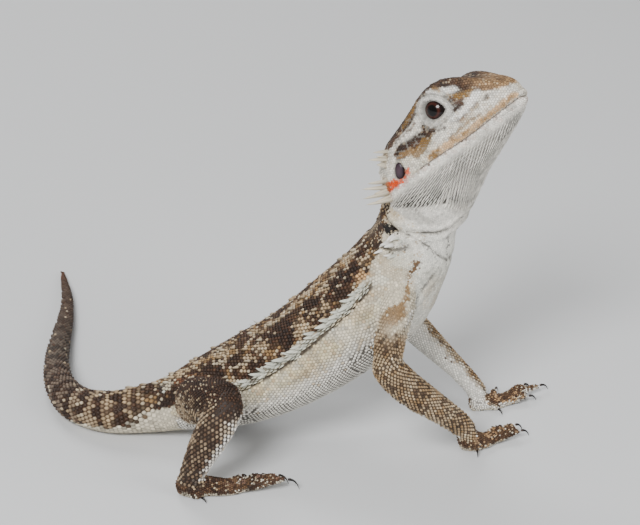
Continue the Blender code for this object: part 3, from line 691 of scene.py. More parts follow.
# %% Tail and neck
# Bands round the tail, and its reddish tip.
TAIL_BANDS, BAND_SHIFT = 2.2, 0.78  # bands for each row along the body, and where they start
band = np.sin(2 * np.pi * (along * TAIL_BANDS + BAND_SHIFT + 0.10 * blotch + 0.003 * phi))
tail = on_body * ease(9.4, 8.2, along) * ease(-2, 4, above)
brush("bone", 0.9 * tail)
# Taupe towards the end of the tail: partly its own colour, partly painted shade where less light reaches it.
brush("taupe", tail * ease(8.6, 6.5, along))
brush("umber", tail * ease(-0.35, 0.35, band + 0.5 * fine_noise))
brush("dark", 0.8 * tail * ease(0.1, 0.6, band + 0.4 * fine_noise))
# Slate and umber darken the outer tail further: partly its own colour, partly painted shade.
brush("slate", 0.45 * on_body * ease(6.5, 4.0, along))
brush("umber", 0.55 * on_body * ease(5.0, 2.0, along))
brush("rust", 0.7 * on_body * ease(1.3, 0.5, along))
sprinkle(0.07, 0.05, tail)
sprinkle(0.14, 0.02, tail * ease(6.5, 5.0, along))
# Neck: a black patch ahead of the shoulder tuft, a dark line under it and fine lines in the folds; these
# lines are painted shadow in the creases.
patch_centre = np.hypot((along - 17.22) * ROW_LENGTH / 1.15, np.radians(phi - 47) * NECK_RADIUS / 1.5)
brush("black", on_body * ease(1.25, 0.85, patch_centre + 0.3 * fine_noise))
for near, width in zip(fold_near, (0.28, 0.22, 0.45, 0.20)):
    brush("dark", 0.85 * neck_skin * bump(near, width))
streak_width = 0.45 + 1.5 * ease(37.2, 34.5, P[:, 2])
in_streak = ease(1.25, 0.75, (arm_streak + 0.5 * fine_noise) / streak_width)
brush("tan", 0.95 * (leg_of != "leg_right") * in_streak * ~is_head)
brush("umber", 0.7 * on_body * ease(0.75, 0.35, arm_streak + 0.35 * fine_noise) * ease(39.5, 41.0, P[:, 2]))
# Slate along the chest fold's groove is painted shade in the crease; a fainter slate band lies beside it.
brush("slate", 0.7 * bump(chest_fold + 0.3 * fine_noise, 0.42) * ~is_head)
brush("slate", 0.35 * bump(chest_fold - 1.7 + 0.5 * fine_noise, 0.4) * ~is_head * (folded[:, 0] > 24))
print("tail and neck painted")

# %% Legs
on_arm = np.isin(leg_of, ("arm_right", "arm_left"))
on_leg = np.isin(leg_of, ("leg_right", "leg_left"))
on_limb = on_arm | on_leg
outer = N[:, 2] + 0.9 * np.where(np.char.endswith(leg_of, "left"), 1, -1) * N[:, 1] - 0.3 * N[:, 0]
upper_side = ease(-0.55, 0.3, outer + 0.3 * blotch)
front_side = N[:, 0] + 0.1 * blotch
shoulder = on_arm * ease(2.3, 1.5, leg_row)
brush("cream", 0.9 * on_limb * (1 - shoulder))
brush("white", 0.85 * on_limb * (1 - upper_side))
# Upper arm: pale at the shoulder, then tan, with scales edged in dark brown down to the wrist.
brush("bone", 0.75 * on_arm * upper_side * ease(1.9, 2.7, leg_row))
brush("tan", 0.75 * on_arm * upper_side * ease(1.9, 2.7, leg_row) * ease(-0.1, 0.4, mottle(P, 1.5, 41)))
sprinkle(0.14, 0.16, on_arm * upper_side * ease(1.9, 2.6, leg_row))
ARM_BANDS = (  # row along the arm, width in rows, darkness
    (2.45, 0.5, 0.9), (3.55, 0.35, 0.7), (4.55, 0.42, 1.0), (5.5, 0.3, 0.7), (6.7, 0.45, 0.9),
)
for row, width, darkness in ARM_BANDS:
    band = on_arm * upper_side * bump(leg_row - row + 0.3 * blotch, width)
    brush("tan", 0.7 * darkness * band)
    brush("umber", 0.2 * darkness * band)
    sprinkle(0.20, 0.06, darkness * band)
sprinkle(0.05, 0.4, on_arm * upper_side * bump(leg_row - 3.0 + 0.2 * blotch, 0.25))
# Thigh: dark on top, scales edged in brown in front, pale spiny streaks behind. Shin: brown behind,
# with a pale strip down its front edge.
thigh = on_leg * ease(3.6, 3.2, leg_row)
brush("tan", 0.7 * on_leg * upper_side)
brush("umber", 0.6 * on_leg * upper_side * ease(-0.2, 0.3, blotch + 0.5 * fine_noise))
sprinkle(0.18, 0.08, on_leg * upper_side)
on_top = ease(-0.15, 0.35, N[:, 2] + 0.35 * blotch)
brush("umber", thigh * on_top)
brush("dark", 0.9 * thigh * on_top * ease(-0.1, 0.3, blotch + 0.4 * fine_noise))
sprinkle(0.62, 0.05, thigh * on_top)
sprinkle(0.20, 0.42, thigh * ease(-0.1, -0.5, N[:, 0]) * ease(0.0, 0.3, mottle(P, 1.7, 17) + 0.1))
LEG_BANDS = ((4.4, 0.35), (5.3, 0.3), (6.3, 0.35))  # row along the leg, width in rows
for row, width in LEG_BANDS:
    band = on_leg * upper_side * bump(leg_row - row + 0.2 * blotch, width)
    brush("umber", 0.55 * band)
    sprinkle(0.6, 0.05, band)
shin_front = on_leg * ease(0.15, 0.5, front_side) * ease(3.2, 3.6, leg_row) * ease(6.6, 5.8, leg_row)
brush("white", 0.8 * shin_front)
sprinkle(0.03, 0.2, shin_front)
feet = is_foot * upper_side
brush("tan", 0.85 * feet)
brush("rose", 0.15 * feet)
brush("umber", 0.9 * feet * ease(-0.6, -0.1, fine_noise + 0.5 * np.sin(leg_row * 9)))
brush("peach", 0.6 * feet * ease(0.55, 0.85, N[:, 2]) * ease(0.0, -0.3, fine_noise))
sprinkle(0.40, 0.10, feet)
hind = on_leg * feet
brush("umber", 0.75 * hind)
brush("dark", 0.7 * hind * ease(-0.2, 0.3, fine_noise + 0.4 * np.sin(leg_row * 9)))
brush("rose", 0.4 * hind * ease(0.88, 0.98, N[:, 2]) * ease(0.0, 0.3, blotch))
sprinkle(0.30, 0.10, hind)
brush("cream", 0.8 * is_foot * ease(-0.2, -0.6, N[:, 2]))
sprinkle(0.05, 0.1, is_foot * ease(-0.2, -0.6, N[:, 2]))
print("legs painted")

# %% Head: crown and snout
HX, _, HZ = M.T
above_mouth = HZ - mouth_z
facing_side = ease(0.15, 0.5, (N @ head_left) * np.sign(Q[:, 1]))
facing_up = ease(0.25, 0.7, N @ head_up)
upper_head = is_head * ease(-0.15, 0.15, above_mouth)
everywhere = np.ones(len(P))
side_view = np.c_[HX, HZ]
SOFT = 0.22  # mm: half the width of a stroke's soft edge


def stroke(name, width, *path, strength=1.0, ragged=0.34, where=None):
    """A brush stroke on both sides of the head, along places given as (ahead of the ear, above the mouth)."""
    distance = path_distance(side_view, path) + ragged * (0.6 * fine_noise + 0.5 * blotch)
    mask = ease(width * 0.5 + SOFT, width * 0.5 - SOFT, distance)
    brush(name, strength * mask * upper_head * (facing_side if where is None else where))


brush("white", 0.6 * is_head)
brush("cream", 0.6 * upper_head * ease(-0.3, 0.4, broad))
brush("grey", 0.4 * upper_head * facing_side * ease(0.0, 0.35, mottle(P, 1.3, 6)))
sprinkle(0.03, 0.10, upper_head)
# Crown: brown down to the brow, mottled with dark and cream, with two white patches over the eye.
CROWN_EDGE_X = (-8.0, 0.0, 8.0, 12.0, 14.0, 15.4, 16.6, 18.0, 19.6, 21.3, 23.2, 25.5)
CROWN_EDGE_Z = (8.0, 9.0, 10.3, 11.3, 11.1, 10.5, 9.4, 8.0, 6.4, 5.0, 3.8, 3.0)
above_brow = HZ - np.interp(HX, CROWN_EDGE_X, CROWN_EDGE_Z)
crown = upper_head * ease(-0.35, 0.35, above_brow + 0.3 * fine_noise)
brush("tan", crown)
brush("olive", 0.8 * crown * ease(-0.4, 0.1, blotch + 0.3 * fine_noise) * ease(24, 21, HX))
brush("umber", 0.95 * crown * ease(-0.9, -0.4, blotch + 0.7 * fine_noise) * ease(24.5, 21, HX))
brush("dark", 0.95 * crown * ease(-0.3, 0.05, mottle(P, 1.4, 9) + 0.3 * fine_noise) * ease(23.5, 18.5, HX))
brush("dark", 0.7 * crown * bump(above_brow - 0.5, 0.4) * ease(-0.3, 0.2, blotch))
sprinkle(0.42, 0.13, crown)
# Snout: peach and tan on top, cream at the sides.
snout = upper_head * ease(18.5, 22.5, HX)
brush("peach", 0.5 * snout * np.maximum(crown, facing_up))
brush("tan", 0.8 * snout * facing_up * ease(-0.3, 0.2, blotch))
brush("umber", 0.8 * snout * facing_up * ease(0.0, 0.3, mottle(P, 1.2, 51)) * ease(25, 23.5, HX))
print("crown and snout painted")

# %% Head: strokes round the eye and on the cheek
# The brow: a dark spot at the rear, two white patches, and brown between and above them.
stroke("dark", 1.0, (12.4, 12.0), (12.1, 10.9))
stroke("white", 1.0, (13.3, 11.0), (13.9, 10.1), (14.6, 9.3), strength=0.9)
stroke("white", 1.5, (15.9, 9.2), (16.8, 8.8), (17.5, 8.2), strength=0.95)
stroke("tan", 0.7, (14.8, 11.1), (15.3, 9.9), strength=0.9)
# Ahead of the eye: a dark stripe, a gold patch under it, and a darker patch at its rear.
stroke("dark", 0.75, (15.5, 8.3), (16.6, 8.0), (17.8, 7.5), (18.9, 6.9), strength=0.9)
stroke("gold", 1.7, (16.4, 7.2), (17.8, 6.6), (19.1, 6.0))
stroke("umber", 2.0, (15.7, 6.9), (15.6, 5.9), (16.0, 5.3), (16.9, 5.6))
stroke("dark", 0.8, (15.4, 7.3), (15.2, 6.0), (15.5, 5.0), (16.4, 5.2), strength=0.75)
stroke("white", 1.8, (20.2, 5.2), (18.4, 4.4), (16.2, 3.7), (14.9, 3.6), (14.4, 4.4), strength=0.9)
# Thin brown streaks on the cheek, and a peach band along the lips.
stroke("umber", 0.35, (19.5, 3.8), (17.7, 3.3), (15.6, 2.9), (13.9, 3.3), strength=0.8)
stroke("tan", 0.7, (19.4, 3.3), (17.6, 2.8), (15.6, 2.5), strength=0.6)
stroke("gold", 0.5, (21.2, 1.6), (18.8, 1.5), (16.6, 1.7), (13.8, 1.3), (12.0, 1.3), strength=0.75)
stroke("peach", 1.3, (25.0, 0.9), (22.2, 0.5), (19.8, 0.5), (16.4, 0.2), (12.8, 0.4), (8.5, 0.7), (7.2, 0.6),
       strength=0.9)
stroke("tan", 0.6, (24.6, 0.8), (22.3, 0.4), (20.8, 0.4), strength=0.7)
stroke("gold", 0.7, (20.3, 0.5), (18.6, 0.4), strength=0.7)
stroke("gold", 0.6, (15.3, 0.4), (12.6, 0.5), strength=0.7)
stroke("gold", 0.8, (9.2, 0.7), (7.3, 0.6), strength=0.85)
# Umber on the nostril darkens its pit: painted shade.
stroke("umber", 0.8, (21.5, 3.8), (21.0, 3.5), strength=0.75)
# Behind the eye: a gold patch down to the ear with a dark upper edge, and a dark streak below the eye.
stroke("umber", 2.7, (8.3, 4.4), (7.0, 4.2), (5.2, 4.4), (3.2, 4.8), (2.2, 5.1))
stroke("dark", 1.2, (8.9, 4.9), (6.6, 5.4), (4.9, 5.6), (2.9, 5.7), (1.9, 5.5), strength=0.85)
stroke("gold", 2.1, (8.0, 3.5), (6.9, 3.1), (5.4, 2.8), strength=0.85)
stroke("olive", 0.8, (9.3, 4.0), (8.4, 2.9), (6.9, 2.3), strength=0.6)
stroke("tan", 1.1, (4.6, 3.7), (3.4, 4.1), (2.3, 4.4), strength=0.8)
stroke("cream", 0.8, (3.8, 2.6), (2.8, 3.0), strength=0.6)
stroke("umber", 1.1, (8.6, 6.6), (8.9, 5.5), (9.5, 4.6), (10.3, 4.3))
stroke("dark", 0.6, (8.6, 7.0), (8.8, 5.9), (9.7, 4.5), (10.7, 4.0), (12.2, 3.4), strength=0.9)
stroke("dark", 0.5, (7.6, 5.2), (8.4, 4.3), (9.7, 3.7), (10.9, 3.7), strength=0.8)
# The stripe along the rear edge of the head, tan between two dark edges, and a row of dashes under it.
stroke("umber", 1.7, (10.5, 11.0), (8.6, 10.2), (6.6, 9.5), (3.8, 8.8), (-1.0, 8.0), where=everywhere)
stroke("dark", 0.6, (10.5, 11.7), (8.1, 10.9), (6.0, 10.1), (2.7, 9.3), (-1.0, 8.6), where=everywhere)
stroke("gold", 0.8, (9.9, 10.8), (7.9, 10.0), (6.5, 9.5), (4.6, 8.9), strength=0.9, where=everywhere)
stroke("dark", 0.5, (10.2, 10.0), (9.1, 9.5), (7.2, 8.9), (4.6, 8.4), strength=0.8, where=everywhere)
for row in range(7):
    start = (7.4 - 1.05 * row, 7.85 - 0.10 * row + 0.12 * (-1) ** row)
    stroke("umber", 0.45, start, (start[0] - 0.5, start[1] - 0.12), strength=0.9, ragged=0.12)
print("head strokes painted")

# %% Head: lids, ear, streak and jaw
# Lids, ear, and the orange streak behind and below it.
lid = near_eye * facing_side
brush("white", 0.8 * lid * ease(1.75, 1.45, share))
# The grey and slate rings round the lids are painted shade in the lid folds.
brush("grey", 0.7 * lid * bump(share - 1.45, 0.09))
brush("grey", 0.6 * lid * ease(0.0, 0.3, mottle(P, 0.6, 34)))
brush("slate", 0.6 * near_eye * bump(share - 1.72, 0.08))
brush("black", 0.95 * near_eye * bump(share - 0.99, 0.14))
brush("umber", 0.5 * near_eye * bump(share - 2.12, 0.10) * ease(0.0, 0.3, mottle(P, 1.2, 33)))
# Black inside the ear opening is painted shade in the hole.
brush("black", is_head * ease(1.15, 0.85, ear))
brush("slate", 0.6 * is_head * bump(ear - 1.25, 0.12))
streak = path_distance(side_view, ((-7.4, 2.1), (-5.2, 1.5), (-3.6, 1.15), (-1.9, 0.85)))
brush("orange", is_head * ease(1.15, 0.7, streak + 0.25 * fine_noise))
specks = path_distance(side_view, ((-1.2, 0.4), (0.2, 0.3), (1.3, 0.7), (2.0, 1.1)))
specks = ease(0.95, 0.5, specks) * ease(-0.35, -0.05, mottle(P, 0.8, 12))
brush("orange", 0.9 * is_head * facing_side * specks)
# Tan skin shows between the roots of the long points.
for place in ((-1.6, 8.9, 6.2), (-4.6, 9.2, 2.6), (-5.6, 9.0, 1.2), (-6.0, 8.6, -0.1)):
    near_root = np.linalg.norm(Q - on_own_side(place, Q), axis=1)
    brush("tan", 0.65 * is_head * ease(1.7, 0.9, near_root + 0.5 * fine_noise))
# The closed mouth is a dark line, painted shade in its groove; below it the jaw is white with grey shadows.
lower_head = is_head * ease(0.1, -0.2, above_mouth)
brush("white", 0.5 * lower_head)
brush("grey", 0.35 * lower_head * ease(0.0, 0.4, blotch))
brush("rose", 0.35 * lower_head * ease(-1.8, -0.4, above_mouth) * ease(0.0, 0.3, mottle(P, 1.0, 31)))
sprinkle(0.0, 0.0, lower_head)
# umber along the mouth: painted shade in its groove
brush("umber", 0.9 * on_face * bump(above_mouth, 0.17) * ease(2.0, 5.0, HX))
print("lids, ear and jaw painted")

# %% [markdown]
# ## One skin, one finish
# Skin between the scales is a little darker and duller than the scales themselves. Both use the same
# group of nodes, which breaks the painted colour up with fine noise, so that no two scales match.

# %% Finish of the hide
def node(tree, kind, **values):
    """A new shader node; each value sets a property, or else the input of that name."""
    made = tree.nodes.new("ShaderNode" + kind)
    for name, value in values.items():
        if hasattr(made, name):
            setattr(made, name, value)
        else:
            made.inputs[name.replace("_", " ")].default_value = value
    return made


def add_sockets(group, direction, *rows):
    """Gives a node group its sockets, each from its name, its type and, if it has one, its value."""
    for name, kind, *value in rows:
        socket = group.interface.new_socket(name, in_out=direction, socket_type="NodeSocket" + kind)
        if value:
            socket.default_value = value[0]


def hide_group():
    """Colour and height of scaly hide from the painted tint and a point on the skin."""
    group = bpy.data.node_groups.new("scaly_hide", "ShaderNodeTree")
    add_sockets(group, "INPUT", ("Tint", "Color"), ("Place", "Vector"), ("Grain size", "Float", 1400.0),
                ("Variation", "Float", 0.2))
    add_sockets(group, "OUTPUT", ("Colour", "Color"), ("Height", "Float"), ("Roughness", "Float"))
    start, end = group.nodes.new("NodeGroupInput"), group.nodes.new("NodeGroupOutput")
    join = group.links.new
    grain = node(group, "TexNoise", Detail=3.0, Roughness=0.6)
    join(start.outputs["Place"], grain.inputs["Vector"])
    join(start.outputs["Grain size"], grain.inputs["Scale"])
    spread = node(group, "MapRange", From_Min=0.3, From_Max=0.7, To_Min=-1.0, To_Max=1.0)
    join(grain.outputs["Fac"], spread.inputs["Value"])
    amount = node(group, "Math", operation="MULTIPLY")
    join(spread.outputs["Result"], amount.inputs[0])
    join(start.outputs["Variation"], amount.inputs[1])
    lift = node(group, "Math", operation="ADD")
    lift.inputs[1].default_value = 1.0
    join(amount.outputs[0], lift.inputs[0])
    shade = node(group, "VectorMath", operation="SCALE")
    join(start.outputs["Tint"], shade.inputs[0])
    join(lift.outputs[0], shade.inputs["Scale"])
    join(shade.outputs[0], end.inputs["Colour"])
    fine = node(group, "TexNoise", Scale=6000.0, Detail=2.0)
    join(start.outputs["Place"], fine.inputs["Vector"])
    join(fine.outputs["Fac"], end.inputs["Height"])
    rough = node(group, "MapRange", To_Min=0.45, To_Max=0.72)
    join(grain.outputs["Fac"], rough.inputs["Value"])
    join(rough.outputs["Result"], end.inputs["Roughness"])
    return group


HIDE = hide_group()


def attribute(tree, name, output):
    made = node(tree, "Attribute", attribute_name=name)
    return made.outputs[output]


def hide_material(name, place, variation, bump_strength, edge=None):
    """Hide that is painted with the tint; edge is painted shade that darkens the foot of each scale."""
    made = bpy.data.materials.new(name)
    made.use_nodes = True
    tree = made.node_tree
    shader = tree.nodes["Principled BSDF"]
    hide = tree.nodes.new("ShaderNodeGroup")
    hide.node_tree = HIDE
    hide.inputs["Variation"].default_value = variation
    join = tree.links.new
    join(attribute(tree, "tint", "Color"), hide.inputs["Tint"])
    if place == "object":
        join(tree.nodes.new("ShaderNodeTexCoord").outputs["Object"], hide.inputs["Place"])
    else:
        join(attribute(tree, place, "Vector"), hide.inputs["Place"])
    colour_out = hide.outputs["Colour"]
    # painted shade: darker towards the foot of each scale
    if edge:
        foot_shade_ramp = node(tree, "MapRange", From_Max=0.8, To_Min=edge)
        join(attribute(tree, "rise", "Fac"), foot_shade_ramp.inputs["Value"])
        shade = node(tree, "VectorMath", operation="SCALE")
        join(colour_out, shade.inputs[0])
        join(foot_shade_ramp.outputs["Result"], shade.inputs["Scale"])
        colour_out = shade.outputs[0]
    join(colour_out, shader.inputs["Base Color"])
    join(hide.outputs["Roughness"], shader.inputs["Roughness"])
    relief = node(tree, "Bump", Strength=bump_strength, Distance=0.00008)
    join(hide.outputs["Height"], relief.inputs["Height"])
    join(relief.outputs["Normal"], shader.inputs["Normal"])
    shader.inputs["Specular IOR Level"].default_value = 0.35
    return made


print("finish of the hide:", len(HIDE.nodes), "nodes")

# %% Paint of the skin
# The skin between the scales is a darker coat of the same paint.
POUCH_EDGE_Z = (-10.5, -8.2, -7.0, -5.9, -4.3, -2.5, 0.0)  # mm in the head's frame
POUCH_EDGE_X = (0.6, 1.1, 0.0, -2.1, -4.6, -7.6, -12.0)  # where the last points of the beard end
ahead_of_pouch = HX - np.interp(HZ, POUCH_EDGE_Z, POUCH_EDGE_X)
beard_slate = is_head * ease(-1.0, -2.4, above_mouth) * ease(1.2, 2.4, ahead_of_pouch)
beard_slate = beard_slate * (0.75 + 0.25 * ease(10, 4, ahead_of_pouch))
beard_black = is_head * ease(-1.8, -3.6, above_mouth) * ease(1.2, 2.0, ahead_of_pouch)
beard_black = beard_black * (0.45 + 0.55 * ease(7.5, 3.5, ahead_of_pouch))
skin_paint = paint * (0.82 + 0.12 * ease(16.0, 16.8, along) * ~on_limb)[:, None]
for name, strength, mask in (
    ("dark", 0.72, back),
    ("umber", 0.55, tail),
    ("dark", 0.85, on_arm * ease(1.9, 2.7, leg_row) * upper_side * ~is_foot),
    ("dark", 0.95, on_leg * upper_side * ~is_foot),
    ("grey", 0.25, on_limb * (1 - upper_side)),
    ("dark", 0.5, is_foot),
    ("slate", 0.5, belly_grid),
    ("slate", 0.85, belly_grid & (phi < -8)),
    ("olive", 0.8, band_here),
    # the dark line under the fringe: painted shadow in its crease
    ("dark", 0.95, on_line * bump(from_line, 0.45)),
    ("umber", 0.60, is_head * crown),
    ("grey", 0.35, upper_head * (1 - crown)),
    ("slate", 0.9, beard_slate),
    ("black", 0.75, beard_black),
):
    brush(name, strength * mask, skin_paint)
skin_finish = hide_material("skin", "object", 0.14, 0.5)
# Scales and thorns are darker at their feet: painted shade where they meet the skin.
scale_finish = hide_material("scales", "root", 0.26, 0.25, edge=0.45)
thorn_finish = hide_material("thorns", "root", 0.10, 0.15, edge=0.62)
print("materials:", skin_finish.name, scale_finish.name)

# %% [markdown]
# ## The shapes of single scales
# A scale is a small closed plate, sunk at its root and lifted at its tip. The back and legs have a
# keel down the middle; the belly is flat; the lids and toes are covered in tiny domes. Each shape is
# made once, one unit wide and long, and used thousands of times, so it has only a few dozen faces.

# %% Scale shapes
def outline_of(points):
    """A full outline from its right half, given from root to tip as (across, along)."""
    left = [(-x, y) for x, y in points[::-1] if x > 0]
    return points + left


def closed_shape(name, verts, faces, rise):
    """A scale as an object: triangles that face out, its height and its place on the bake patch stored."""
    mesh = bpy.data.meshes.new(name)
    mesh.from_pydata(verts, [], faces)
    bm = bmesh.new()
    bm.from_mesh(mesh)
    bmesh.ops.recalc_face_normals(bm, faces=bm.faces)
    bmesh.ops.triangulate(bm, faces=bm.faces)
    bm.to_mesh(mesh)
    bm.free()
    store(mesh, "rise", "FLOAT", "POINT", rise)
    store(mesh, "patch", "FLOAT_VECTOR", "POINT", [(x * 0.6, y * 0.6, 0) for x, y, _ in verts])
    return bpy.data.objects.new(name, mesh)


def make_scale(name, half, edge, crown, inner, keel, lift):
    """A closed plate. edge is the height of its rim, crown of its top, keel the extra on the middle
    line, lift how far the tip stands up, and inner the size of the top against the outline."""
    ring = outline_of(half)
    n = len(ring)
    verts, rise = [], []
    middle_y = sum(y for _, y in ring) / n

    def height(y):
        return lift * max(0.0, y + 0.5)

    for x, y in ring:
        verts.append((x * 0.92, y * 0.92, -0.35))
        rise.append(0.0)
    for x, y in ring:
        verts.append((x, y, edge + height(y)))
        rise.append(0.25)
    for x, y in ring:
        yy = middle_y + (y - middle_y) * inner
        verts.append((x * inner, yy, crown + height(yy) + (keel if x == 0 else 0)))
        rise.append(0.9 if x else 1.0)
    verts.append((0, middle_y, crown * 1.1 + keel + height(middle_y)))
    rise.append(1.0)
    faces = [tuple(range(n))[::-1]]
    for base in (0, n):
        for k in range(n):
            j = (k + 1) % n
            faces.append((base + k, base + j, base + n + j, base + n + k))
    faces += [(2 * n + k, 2 * n + (k + 1) % n, 3 * n) for k in range(n)]
    return closed_shape(name, verts, faces, rise)


def make_thorn(name, sides, rings, blunt):
    """A closed, slightly curved cone that is sunk at its root; blunt keeps it stout towards the tip."""
    verts, rise = [], []
    for k in range(rings):
        t = k / rings
        radius = 0.5 * (1 - t) ** blunt
        for j in range(sides):
            a = 2 * math.pi * j / sides
            height = 0.62 * math.sqrt(t) - 0.30 + 0.8 * radius * math.cos(a)
            verts.append((radius * math.sin(a), t - 0.24, height))
            rise.append(0.15 + 0.85 * t)
    verts.append((0, 0.76, 0.34))
    rise.append(1.0)
    faces = [tuple(range(sides))]
    for k in range(rings - 1):
        for j in range(sides):
            n = (j + 1) % sides
            faces.append((k * sides + j, k * sides + n, (k + 1) * sides + n, (k + 1) * sides + j))
    top = (rings - 1) * sides
    faces += [(top + j, top + (j + 1) % sides, rings * sides) for j in range(sides)]
    return closed_shape(name, verts, faces, rise)


SCALE_SHAPES = [  # the number of a shape in this list is its kind
    make_scale("shape_0_plate", [(0, -0.5), (0.42, -0.3), (0.46, 0.2), (0, 0.5)],
               edge=0.20, crown=0.55, inner=0.62, keel=0.05, lift=0.15),
    make_scale("shape_1_keeled", [(0, -0.5), (0.40, -0.2), (0.38, 0.16), (0, 0.56)],
               edge=0.10, crown=0.42, inner=0.52, keel=0.38, lift=0.55),
    make_scale("shape_2_granule", [(0, -0.5), (0.44, -0.22), (0.44, 0.22), (0, 0.5)],
               edge=0.15, crown=0.62, inner=0.55, keel=0.0, lift=0.0),
    make_scale("shape_3_spine", [(0, -0.45), (0.40, -0.18), (0.22, 0.25), (0, 0.75)],
               edge=0.10, crown=0.45, inner=0.45, keel=0.40, lift=1.6),
    make_thorn("shape_4_needle", sides=5, rings=4, blunt=0.7),
    make_thorn("shape_5_thorn", sides=8, rings=6, blunt=0.62),
]
PLATE, KEELED, GRANULE, SPINE, NEEDLE, THORN = range(len(SCALE_SHAPES))
print("triangles in each shape:", {shape.name: triangles_in(shape.data) for shape in SCALE_SHAPES})

# %% [markdown]
# ## Laying the scales
# Scales grow like tiles: each row is shifted by half a tile from the one before. We lay them as a
# tiler would, outward from a few first tiles. Every tile proposes its six neighbours; a proposal is
# pulled onto the skin and kept if no other tile is too near. Where the body widens, the rows split
# by themselves. A last pass fills any gap with single scales.

# %% Width, length and shape of the scales, place by place
def by_place(default, *rules):
    """A value for each vertex: the default, then each (mask, value) over it in turn."""
    values = np.full(len(P), float(default))
    for mask, value in rules:
        values = np.where(mask, value, values)
    return values


is_tail_part = on_body & (along < TAIL_ROW)
belly = on_body & (phi < -14) & (along > TAIL_ROW) & (along < 15.0)
neck_part = on_body & (along > 16.3)
neck_front = on_body & (above < -2) & (along > 15.0) & ((along > 16.0) | (phi < 0))
toes = is_foot & (np.where(on_arm, leg_row > 9.2, leg_row > 8.6))
up_head = is_head & (above_mouth > 0)
crown_part = up_head & ((N @ head_up > 0.45) | (HZ > 11.5))
lids = near_eye & (share < 2.1)
BEARD_EDGE = 1.6  # mm ahead of the pouch where its last needles stand
beard = is_head & (HZ < mouth_z - 1.1) & (HX < 24.2) & (ahead_of_pouch > BEARD_EDGE)
pouch = (is_head | neck_part) & (HZ < mouth_z - 0.8) & (ahead_of_pouch <= BEARD_EDGE)
tail_pitch = np.interp(along, (0, 3, 6, TAIL_ROW), (0.5, 0.7, 0.85, 0.95))
beard_pitch = np.interp(ahead_of_pouch, (BEARD_EDGE, 7.0), (0.95, 0.66))
leg_above_foot = on_limb & ~is_foot
inner_leg = leg_above_foot & (upper_side < 0.4)
pitch = by_place(  # width in mm
    0.84, (on_body & (above < 0), 0.70), (belly, 0.66), (is_tail_part, tail_pitch),
    (neck_part & (above > 0), 0.72), (neck_front, 0.46), (on_limb, 0.90), (on_arm, 0.74),
    (on_leg & (leg_row < 3.4), 0.66), (inner_leg, 0.58), (is_foot, 0.50), (toes, 0.42), (is_head, 0.50),
    (crown_part, 0.66), (up_head & (HX > 18), 0.55), (beard, beard_pitch), (lids, 0.36), (pouch, 0.46),
)
ratio = by_place(  # length against width
    1.0, (on_body & (above > 0), 0.95), (is_tail_part, 1.2), (beard, 1.45), (on_limb, 1.05), (pouch, 1.0),
)
kind = by_place(
    KEELED, (on_body & (above < 0), PLATE), (neck_front, GRANULE), (inner_leg, GRANULE), (is_head, PLATE),
    (beard, NEEDLE), (lids, GRANULE), (pouch, GRANULE),
).astype(int)
smooth_hide = ease(0.2, 0.8, neighbour_mean((neck_front | pouch)[:, None].astype(float))[:, 0])
# Bare skin: in the ear and the eye, along the mouth, in the nostril, on the ground and in the folds.
ON_GROUND = 0.25  # mm
FOLD_BARE = (0.20, 0.16, 0.28, 0.12)  # mm to each side of the folds of the neck
bare = is_head & (ear < 1.12)
bare |= near_eye & (share < 1.1)
bare |= on_face & (np.abs(above_mouth) < 0.18) & (HX > 2.5)
bare |= is_head & (np.linalg.norm(M - NOSTRIL, axis=1) < 0.5)
bare |= P[:, 2] < ON_GROUND
bare |= (on_line > 0.5) & (np.abs(from_line) < 0.32)
for near, width in zip(fold_near, FOLD_BARE):
    bare |= neck_skin & (near < width)
PITCH_ROUNDS = 2
for _ in range(PITCH_ROUNDS):
    pitch = neighbour_mean(pitch[:, None])[:, 0]
print("scale width from", np.round(pitch.min(), 2), "to", np.round(pitch.max(), 2), "mm")

# %% The skin as the tiler needs it
normals_of(P)
skin_bm = bmesh.new()
skin_bm.from_mesh(skin_mesh)
skin_tree = BVHTree.FromBMesh(skin_bm)
skin_bm.free()
loop_vertex = fetch(skin_mesh.loops, "vertex_index", 1, np.int32)[:, 0]
loop_start = fetch(skin_mesh.polygons, "loop_start", 1, np.int32)[:, 0]
face_rows = loop_vertex[loop_start].tolist()  # the first vertex of each face
# Plain lists are read far faster than arrays when it is one value at a time.
normal_rows, lie_rows = N.tolist(), lie.tolist()
pitch_rows, ratio_rows, bare_rows = pitch.tolist(), ratio.tolist(), bare.tolist()
square_rows = belly.tolist()
print("bare skin:", int(bare.sum()), "of", len(bare), "vertices")

# %% Lay them
NEAREST = 0.80  # of the pitch: how near two scales may stand
GAP_FILL = 0.86  # of the pitch: the same for a scale that fills a gap
ROW_SHARE = 0.87  # of the length: how far one row of scales is from the next
SEEDS = (
    "trunk", "tail_base", "thigh_right", "shin_right", "forearm_right", "foot_right", "hand_right", "head",
    "lower_jaw", "neck", "upper_arm_right", "thigh_left", "shin_left", "forearm_left", "hand_left",
    "foot_left",
)


class Tiles:
    """The scales laid so far, kept in boxes of space so that near ones are found quickly."""
    CELL = 0.75

    def __init__(self):
        self.places, self.vertex, self.boxes = [], [], {}

    def too_near(self, p, normal, limit):
        """True if a scale on the same side of the skin stands nearer to p than the limit."""
        x, y, z = p
        cell, limit_squared = self.CELL, limit * limit
        spans = [range(math.floor((v - limit) / cell), math.floor((v + limit) / cell) + 1) for v in p]
        for key in product(*spans):
            for t in self.boxes.get(key, ()):
                q = self.places[t]
                dx, dy, dz = q[0] - x, q[1] - y, q[2] - z
                if dx * dx + dy * dy + dz * dz < limit_squared:
                    other = normal_rows[self.vertex[t]]
                    if other[0] * normal[0] + other[1] * normal[1] + other[2] * normal[2] > -0.2:
                        return True
        return False

    def add(self, p, v):
        key = tuple(math.floor(value / self.CELL) for value in p)
        self.boxes.setdefault(key, []).append(len(self.places))
        self.places.append(p)
        self.vertex.append(v)


